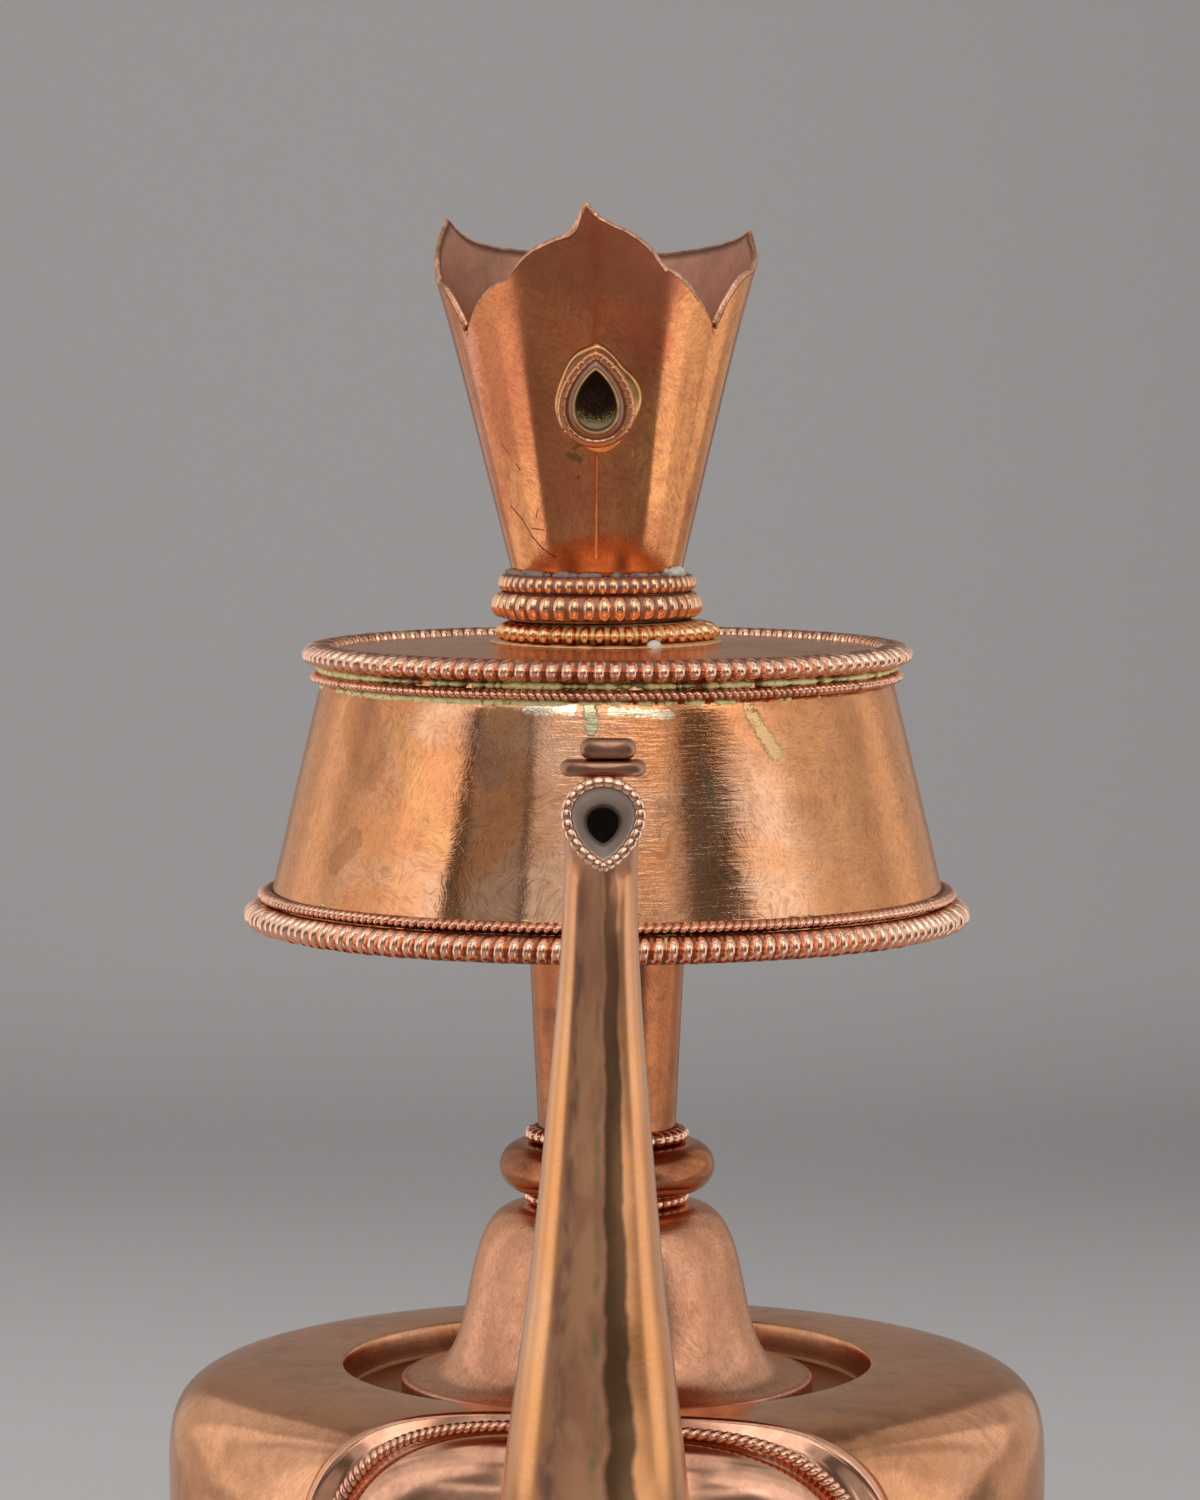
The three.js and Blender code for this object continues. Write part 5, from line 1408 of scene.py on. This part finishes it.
def rim_angles():
    """Angles round the cup, close together at the drilled notches and at the drawn-out tips."""
    angles = list(np.linspace(-math.pi, math.pi, 700, endpoint=False))
    for place in (-LEFT_HALF_PETAL, RIGHT_HALF_PETAL):
        angles += list(place + np.linspace(-0.032, 0.032, 29))
    for place in (-2 * LEFT_HALF_PETAL, 0.0, 2 * RIGHT_HALF_PETAL):
        angles += list(place + np.linspace(-0.06, 0.06, 25))
    angles = np.sort(np.array(angles))
    return angles[np.concatenate([[True], np.diff(angles) > 4e-4])]


def make_cup():
    foot = foot_of("crown_cup")
    angles = rim_angles()
    count = len(angles)
    rim = np.array([rim_height(a) for a in angles])
    burr = np.convolve(rng.normal(0, 1, count), np.ones(7) / 7, "same")
    nick = np.convolve((rng.random(count) < 0.02) * rng.uniform(0.3, 1, count), [0.5, 1, 0.5],
                       "same")
    filed_off, burr_height, nick_depth = 0.06, 0.05, 0.16
    rim = rim - filed_off + burr_height * np.clip(burr, -1.2, 1) - nick_depth * nick
    azimuth = angles + PETAL_TURN
    arc = angles * CUP_SKIN_RADIUS
    slope = np.gradient(rim, arc)
    widen = np.clip(np.sqrt(1 + slope ** 2), 1, 2.2)
    bevel_width = CUP_BEVEL + 0.1 * np.convolve(rng.normal(0, 1, count), np.ones(25) / 5, "same")
    rows, climbs, edge, inner = [], [], [], []

    def add_row(climb, inset, edge_mark, inner_mark):
        rows.append(cup_point(azimuth, climb, inset, foot))
        climbs.append(climb)
        edge.append(edge_mark)
        inner.append(inner_mark)

    chest = rim - bevel_width * widen
    for level in np.linspace(0, 1, 60):
        add_row(chest * level, 0, 0.0, 0.0)
    for inset, drop, shown in ((0.0, 0.98, 0.3), (0.03, 0.9, 0.5), (0.12, 0.66, 1.0),
                               (0.28, 0.32, 1.0), (0.42, 0.08, 1.0), (0.56, 0.0, 1.0),
                               (0.7, 0.06, 1.0)):
        add_row(rim - drop * bevel_width * widen, inset, shown, 0.0)
    top_inside = rim - 0.3 * widen
    for level in np.linspace(1, 0, CUP_INSIDE_ROWS):
        add_row(top_inside * level, CUP_SHEET, 0.5 if level == 1 else 0.0, 1.0)
    across = np.append(arc, arc[0] + FULL_TURN * CUP_SKIN_RADIUS)
    along = np.array(climbs + [climbs[0]])
    along = np.concatenate([along, along[:, :1]], axis=1)
    along[len(climbs) - CUP_INSIDE_ROWS:] += CUP_INSIDE_SKIN_SHIFT
    dull = np.clip((np.array(climbs) - CUP_DULL_FROM) / CUP_DULL_OVER, 0, 1)
    cup = make_grid("petal_cup", rows, skin=(across[None, :] + 0 * along, along),
                    marks={"edge": np.array(edge)[:, None], "inner": np.array(inner)[:, None],
                           "dull": dull})
    for turn, notch in ((-LEFT_HALF_PETAL, LEFT_NOTCH), (RIGHT_HALF_PETAL, RIGHT_NOTCH)):
        drill(cup, turn + PETAL_TURN, notch - NOTCH_HOLE_DROP, foot)
    dress(cup, "crown", "polished_copper", "cup", "crown_cup")


def drill(cup, azimuth, climb, foot):
    """Drills a small round hole through the cup's sheet."""
    middle = cup_point(azimuth, climb, CUP_SHEET / 2, foot)
    out = np.array([math.sin(azimuth), -math.cos(azimuth), 0])
    side, up = np.cross(out, [0, 0, 1]), np.array([0, 0, 1])
    count = 24
    turns = np.linspace(0, FULL_TURN, count, endpoint=False)
    ring = np.outer(np.cos(turns), side) + np.outer(np.sin(turns), up)
    points = np.concatenate([middle + ring * NOTCH_HOLE_RADIUS + out * reach
                             for reach in (-1.5, 1.5)])
    ends = [tuple(range(count))[::-1], tuple(range(count, count * 2))]
    bit = make_mesh("drill_bit", points, grid_faces(2, count, False, True) + ends)
    cut = cup.modifiers.new("drilled_hole", "BOOLEAN")
    cut.operation, cut.solver, cut.object = "DIFFERENCE", "EXACT", bit
    seen = bpy.context.evaluated_depsgraph_get()
    drilled = bpy.data.meshes.new_from_object(cup.evaluated_get(seen))
    cup.modifiers.clear()
    cup.data = drilled
    bpy.data.objects.remove(bit)


def make_crown_foot():
    low, high = span("crown_stem")
    centre = (low[0] + high[0]) / 2
    stem_radius, collar_gap = radius_of("crown_stem"), 0.1
    for name, node, inner, corner in (
            ("crown_sleeve", "crown_stem", stem_radius - STEM_SHEET, 0.15),
            ("crown_band", "crown_collar", stem_radius + collar_gap, 0.3)):
        plain_ring(name, node, inner, corner, "crown", "dark_copper", "hidden", axis_x=centre)
    for name, node, beads, share in (("crown_big_beads", "crown_middle_wire", 41, 0.95),
                                     ("crown_small_beads", "crown_top_wire", 54, 0.82)):
        wire_ring(name, node, radius_of("crown_collar"), beads, "crown_wire", body="crown",
                  fill=0.74, share=share, fullness=2.5, axis_x=centre, steps=14)


def make_cup_crust():
    """Old crust in the joint between the cup and its top wire, white at the right."""
    seat, level = CUP_FOOT_RADIUS + 0.05, foot_of("crown_cup") + 0.1
    white = 1.8 - 6.5 * np.abs(SEAM_ANGLES - math.radians(60))
    solder_seam("cup_foot_crust", "crown", seat, level, 0.8, 0.75, 0.45, -CROWN_SHIFT, 60,
                "crust")
    solder_seam("cup_foot_white_crust", "crown", seat, level + 0.15, 1.1, 1.15, white,
                -CROWN_SHIFT, 45, "white_crust")


def make_gem():
    foot = foot_of("crown_cup")
    seat = cup_point(GEM_TURN, GEM_HEIGHT, 0, foot)
    up = cup_point(GEM_TURN, GEM_HEIGHT + 1, 0, foot) - seat
    up /= np.linalg.norm(up)
    side = np.array([math.cos(GEM_TURN), math.sin(GEM_TURN), 0])
    out = np.cross(side, up)

    def place(across, along, rise):
        return seat + np.outer(across, side) + np.outer(along, up) + np.outer(rise, out)

    steps = 160
    share = np.linspace(0, 1, steps, endpoint=False)
    flat = np.ones(steps)

    def bulge(centre, reach, size):
        off = np.abs((share - centre + 0.5) % 1 - 0.5)
        return size * np.exp(-(off / reach) ** 2)

    ragged = (bulge(0.04, 0.04, 0.15) + bulge(0.24, 0.07, 0.8) + bulge(0.47, 0.07, 0.75)
              + bulge(0.72, 0.05, 0.2) + bulge(0.88, 0.05, 0.3) - bulge(0.15, 0.03, 0.2)
              - bulge(0.62, 0.04, 0.15))
    nought = np.zeros(steps)
    rows = [place(nought, nought, 0.2 * flat)]
    for grow, rise in ((-4.2, 0.2), (-2.7, 0.2), (-2.3, 0.8), (-0.8, 0.8), (-0.3, 0.78),
                       (-0.1, 0.62), (0.0, 0.35), (0.02, -0.25), (-0.6, -0.25),
                       (-4.2, -0.2)):
        reach = grow + ragged * (1 if -0.5 < grow else 0)
        across, along = teardrop(share, PLATE_WIDTH + 2 * reach, PLATE_LENGTH + 2 * reach,
                                 PLATE_POINT)
        curve = across ** 2 / CUP_WIDTH_AT_STONE if rise < 0 else 0
        rows.append(place(across, along, rise * flat - curve))
    rows.append(place(nought, nought, -0.2 * flat))
    plate = make_grid("stone_plate", rows, rows_close=False)
    dress(plate, "crown", "soldered_brass", "setting", "gem_plate")

    cuts, steps = 33, 14
    around = np.arange(cuts * steps) / (cuts * steps)
    rope_width, rope_rise = 1.3, 1.3
    across, along = teardrop(around, PLATE_WIDTH - rope_width,
                             PLATE_LENGTH - 0.6 - rope_width, GEM_POINT)
    line = place(across, along, 0.95 + 0 * around)
    cut_place = (around * cuts + 0.25 * rng.normal(0, 0.3, cuts)[
        np.floor(around * cuts).astype(int)]) % 1
    crest = np.clip(1 - np.abs(cut_place * 2 - 1) ** 9, 0, 1) ** 0.5
    crests = []

    def cut(turn):
        crests.append(crest * (0.5 + 0.5 * max(math.sin(turn), 0)))
        return 0.78 + 0.22 * crest

    rows = wire_rows(line, out, rope_width, rope_rise, rope_rise * 0.4, 14, cut)
    rope = make_grid("stone_rope", rows, marks={"crest": np.array(crests)})
    dress(rope, "crown", "dark_copper", "stone_wire", "gem_rope")

    steps = 140
    share = np.linspace(0, 1, steps, endpoint=False)
    flat = np.ones(steps)
    rows, worn = [], []
    for grow, rise, shown in ((0.95, 0.5, 0), (0.92, 1.45, 0), (0.6, 1.75, 0), (0.3, 2.05, 0),
                              (0.1, 2.3, 0.3), (0.0, 2.45, 1), (-0.12, 2.5, 1),
                              (-0.26, 2.45, 0.6), (-0.34, 2.2, 0), (-0.4, 0.5, 0)):
        across, along = teardrop(share, BEZEL_WIDTH + grow * 2, BEZEL_LENGTH + grow * 2.4,
                                 GEM_POINT)
        rows.append(place(across, along, rise * flat))
        worn.append(shown * flat)
    bezel = make_grid("stone_bezel", rows, marks={"edge": np.array(worn)})
    dress(bezel, "crown", "soldered_brass", "bezel", "gem_bezel")
    bed_rows = [place(0 * share, 0 * share - 0.2, 0.45 * flat)]
    marks = [0 * flat]
    for shrink, rise in ((0.45, 0.45), (0.62, 0.55), (0.78, 0.85), (0.9, 1.25), (0.97, 1.7),
                         (1.0, 1.95)):
        across, along = teardrop(share, BED_WIDTH * shrink, BED_LENGTH * shrink, GEM_POINT)
        lumps = rng.normal(0, 0.03, steps) * (shrink < 0.9)
        bed_rows.append(place(across, along, rise + lumps))
        marks.append(np.clip(-along / 3.3, 0, 1) ** 1.6 * np.clip((shrink - 0.5) * 2, 0, 1))
    bed = make_grid("stone_cement", bed_rows, rows_close=False, marks={"edge": np.array(marks)})
    dress(bed, "crown", "soldered_brass", "stone_bed")


# Stage.

def make_stage():
    floor_finish, tree, shader = new_finish("pale_floor")
    place = parts_of(tree, object_place(tree))
    # Painted light on the sweep: lighter at the left than at the right, and painted shade that
    # darkens the floor towards the bend and, more, on its right.
    paper_side_light = tint(tree, ramped(tree, place[0], -0.3, 0.3), PAPER_LIT_LEFT, PAPER_SHADED_RIGHT)
    shade = times(tree, ramped(tree, place[1], 0.36, 0.64),
                  ramped(tree, place[1], 0.74, 0.84, 0.17, 0.0))
    right = times(tree, ramped(tree, place[0], 0.0, 0.25),
                  ramped(tree, place[1], 0.72, 0.84, 0.09, 0.0))
    shade = plus(tree, shade, right)
    tree.links.new(tint(tree, shade, paper_side_light, (0, 0, 0)), shader.inputs["Base Color"])
    shader.inputs["Roughness"].default_value = 0.8
    width, near, far, height, bend = 3.0, -3.0, 1.05, 2.2, 0.35
    turns = np.linspace(0, math.pi / 2, 16)
    line = ([(near, 0.0)] + [(far - bend + bend * math.sin(t), bend - bend * math.cos(t))
                             for t in turns] + [(far, height)])
    points = [(x, y, z) for y, z in line for x in (-width, width)]
    faces = [(2 * i, 2 * i + 1, 2 * i + 3, 2 * i + 2) for i in range(len(line) - 1)]
    mesh = bpy.data.meshes.new("studio_sweep")
    mesh.from_pydata(points, [], faces)
    mesh.shade_smooth()
    mesh.materials.append(floor_finish)
    sweep = bpy.data.objects.new("studio_sweep", mesh)
    bpy.context.scene.collection.objects.link(sweep)


def soft_light(name, place, facing, upward, width, height, brightness):
    """A rectangular soft light whose face has that brightness, with its upper edge upward."""
    light = bpy.data.lights.new(name, "AREA")
    light.shape = "RECTANGLE"
    light.size, light.size_y = width, height
    light.energy = brightness * math.pi * width * height
    back = -Vector(facing).normalized()
    side = Vector(upward).cross(back).normalized()
    turn = Matrix((side, back.cross(side), back)).transposed()
    lamp = bpy.data.objects.new(name, light)
    lamp.matrix_world = Matrix.Translation(place) @ turn.to_4x4()
    lamp.visible_camera = False
    bpy.context.scene.collection.objects.link(lamp)


def make_lights():
    """Screens beside the vase, brightest in front, a card on the floor at the right, a bright
    soft light above the camera with dim walls and two bands round it, one from the top and one
    for the wall behind the vase."""
    for side, label, lean in ((-1, "left", 0.345), (1, "right", 0.505)):
        upward = Vector((0, -math.sin(lean), math.cos(lean)))
        backward = Vector((0, math.cos(lean), math.sin(lean)))
        corner = Vector((side * 0.25, -0.085, -0.02))
        for k, (start, end, brightness) in enumerate(SCREEN_STRIPS):
            middle = corner + backward * (start + end) / 2 + upward * 0.3
            soft_light(f"screen_{label}_{k}", middle, (-side, 0, 0),
                       upward, end - start, 0.62, brightness)
        soft_light(f"rear_screen_{label}", (side * 0.26, 0.34, 0.3),
                   (-side, 0, 0), (0, 0, 1), 0.5, 0.6, REAR_SCREEN)
    soft_light("floor_card", (0.165, -0.165, 0.003), (0, 0, 1), (0, 1, 0), 0.17, 0.14, 0.75)
    soft_light("front_top_light", (0, -0.72, 0.87), (0, 0.66, -0.75), (0, 0.75, 0.66), 0.76, 0.7,
               1.7)
    soft_light("front_wall", (0, -1.25, 0.58), (0, 1, -0.25), (0, 0, 1), 1.3, 0.46, 0.5)
    soft_light("left_front_wall", (-0.92, -1.05, 0.6), (0.66, 0.75, -0.2), (0, 0, 1), 0.5, 0.7,
               0.2)
    for side, label in ((-1, "left"), (1, "right")):
        soft_light(f"front_band_{label}", (side * 0.64, -0.77, 0.77),
                   (-side * 0.64, 0.77, -0.6), (0, 0, 1), 0.55, 0.13, 0.9)
    soft_light("top_light", (0, 0.02, 0.95), (0, 0, -1), (0, 1, 0), 0.8, 0.6, 0.75)
    soft_light("wall_light", (-0.5, 0.42, 0.85), (0, 1, -0.5), (0, 0.5, 1), 2.2, 0.3, 0.95)
    world = bpy.data.worlds.new("studio_room")
    world.use_nodes = True
    world.node_tree.nodes["Background"].inputs["Color"].default_value = ROOM_GREY
    bpy.context.scene.world = world
    bpy.context.scene.view_settings.view_transform = "Standard"


def make_camera():
    lens = bpy.data.cameras.new("photo_camera")
    lens.lens = CAMERA_LENS
    lens.sensor_width = 36.0
    lens.clip_start = 0.01
    lens.clip_end = 20.0
    camera = bpy.data.objects.new("photo_camera", lens)
    camera.location = (CAMERA_SIDE * MM, -CAMERA_DISTANCE * MM, CAMERA_HEIGHT * MM)
    camera.rotation_euler = (math.pi / 2 - CAMERA_PITCH, 0, 0)
    bpy.context.scene.collection.objects.link(camera)
    bpy.context.scene.camera = camera


make_foot()
make_belly()
make_medallion()
make_spout()
make_neck()
make_drum()
make_socket()
make_crown_foot()
make_cup()
make_cup_crust()
make_gem()
make_stage()
make_lights()
make_camera()
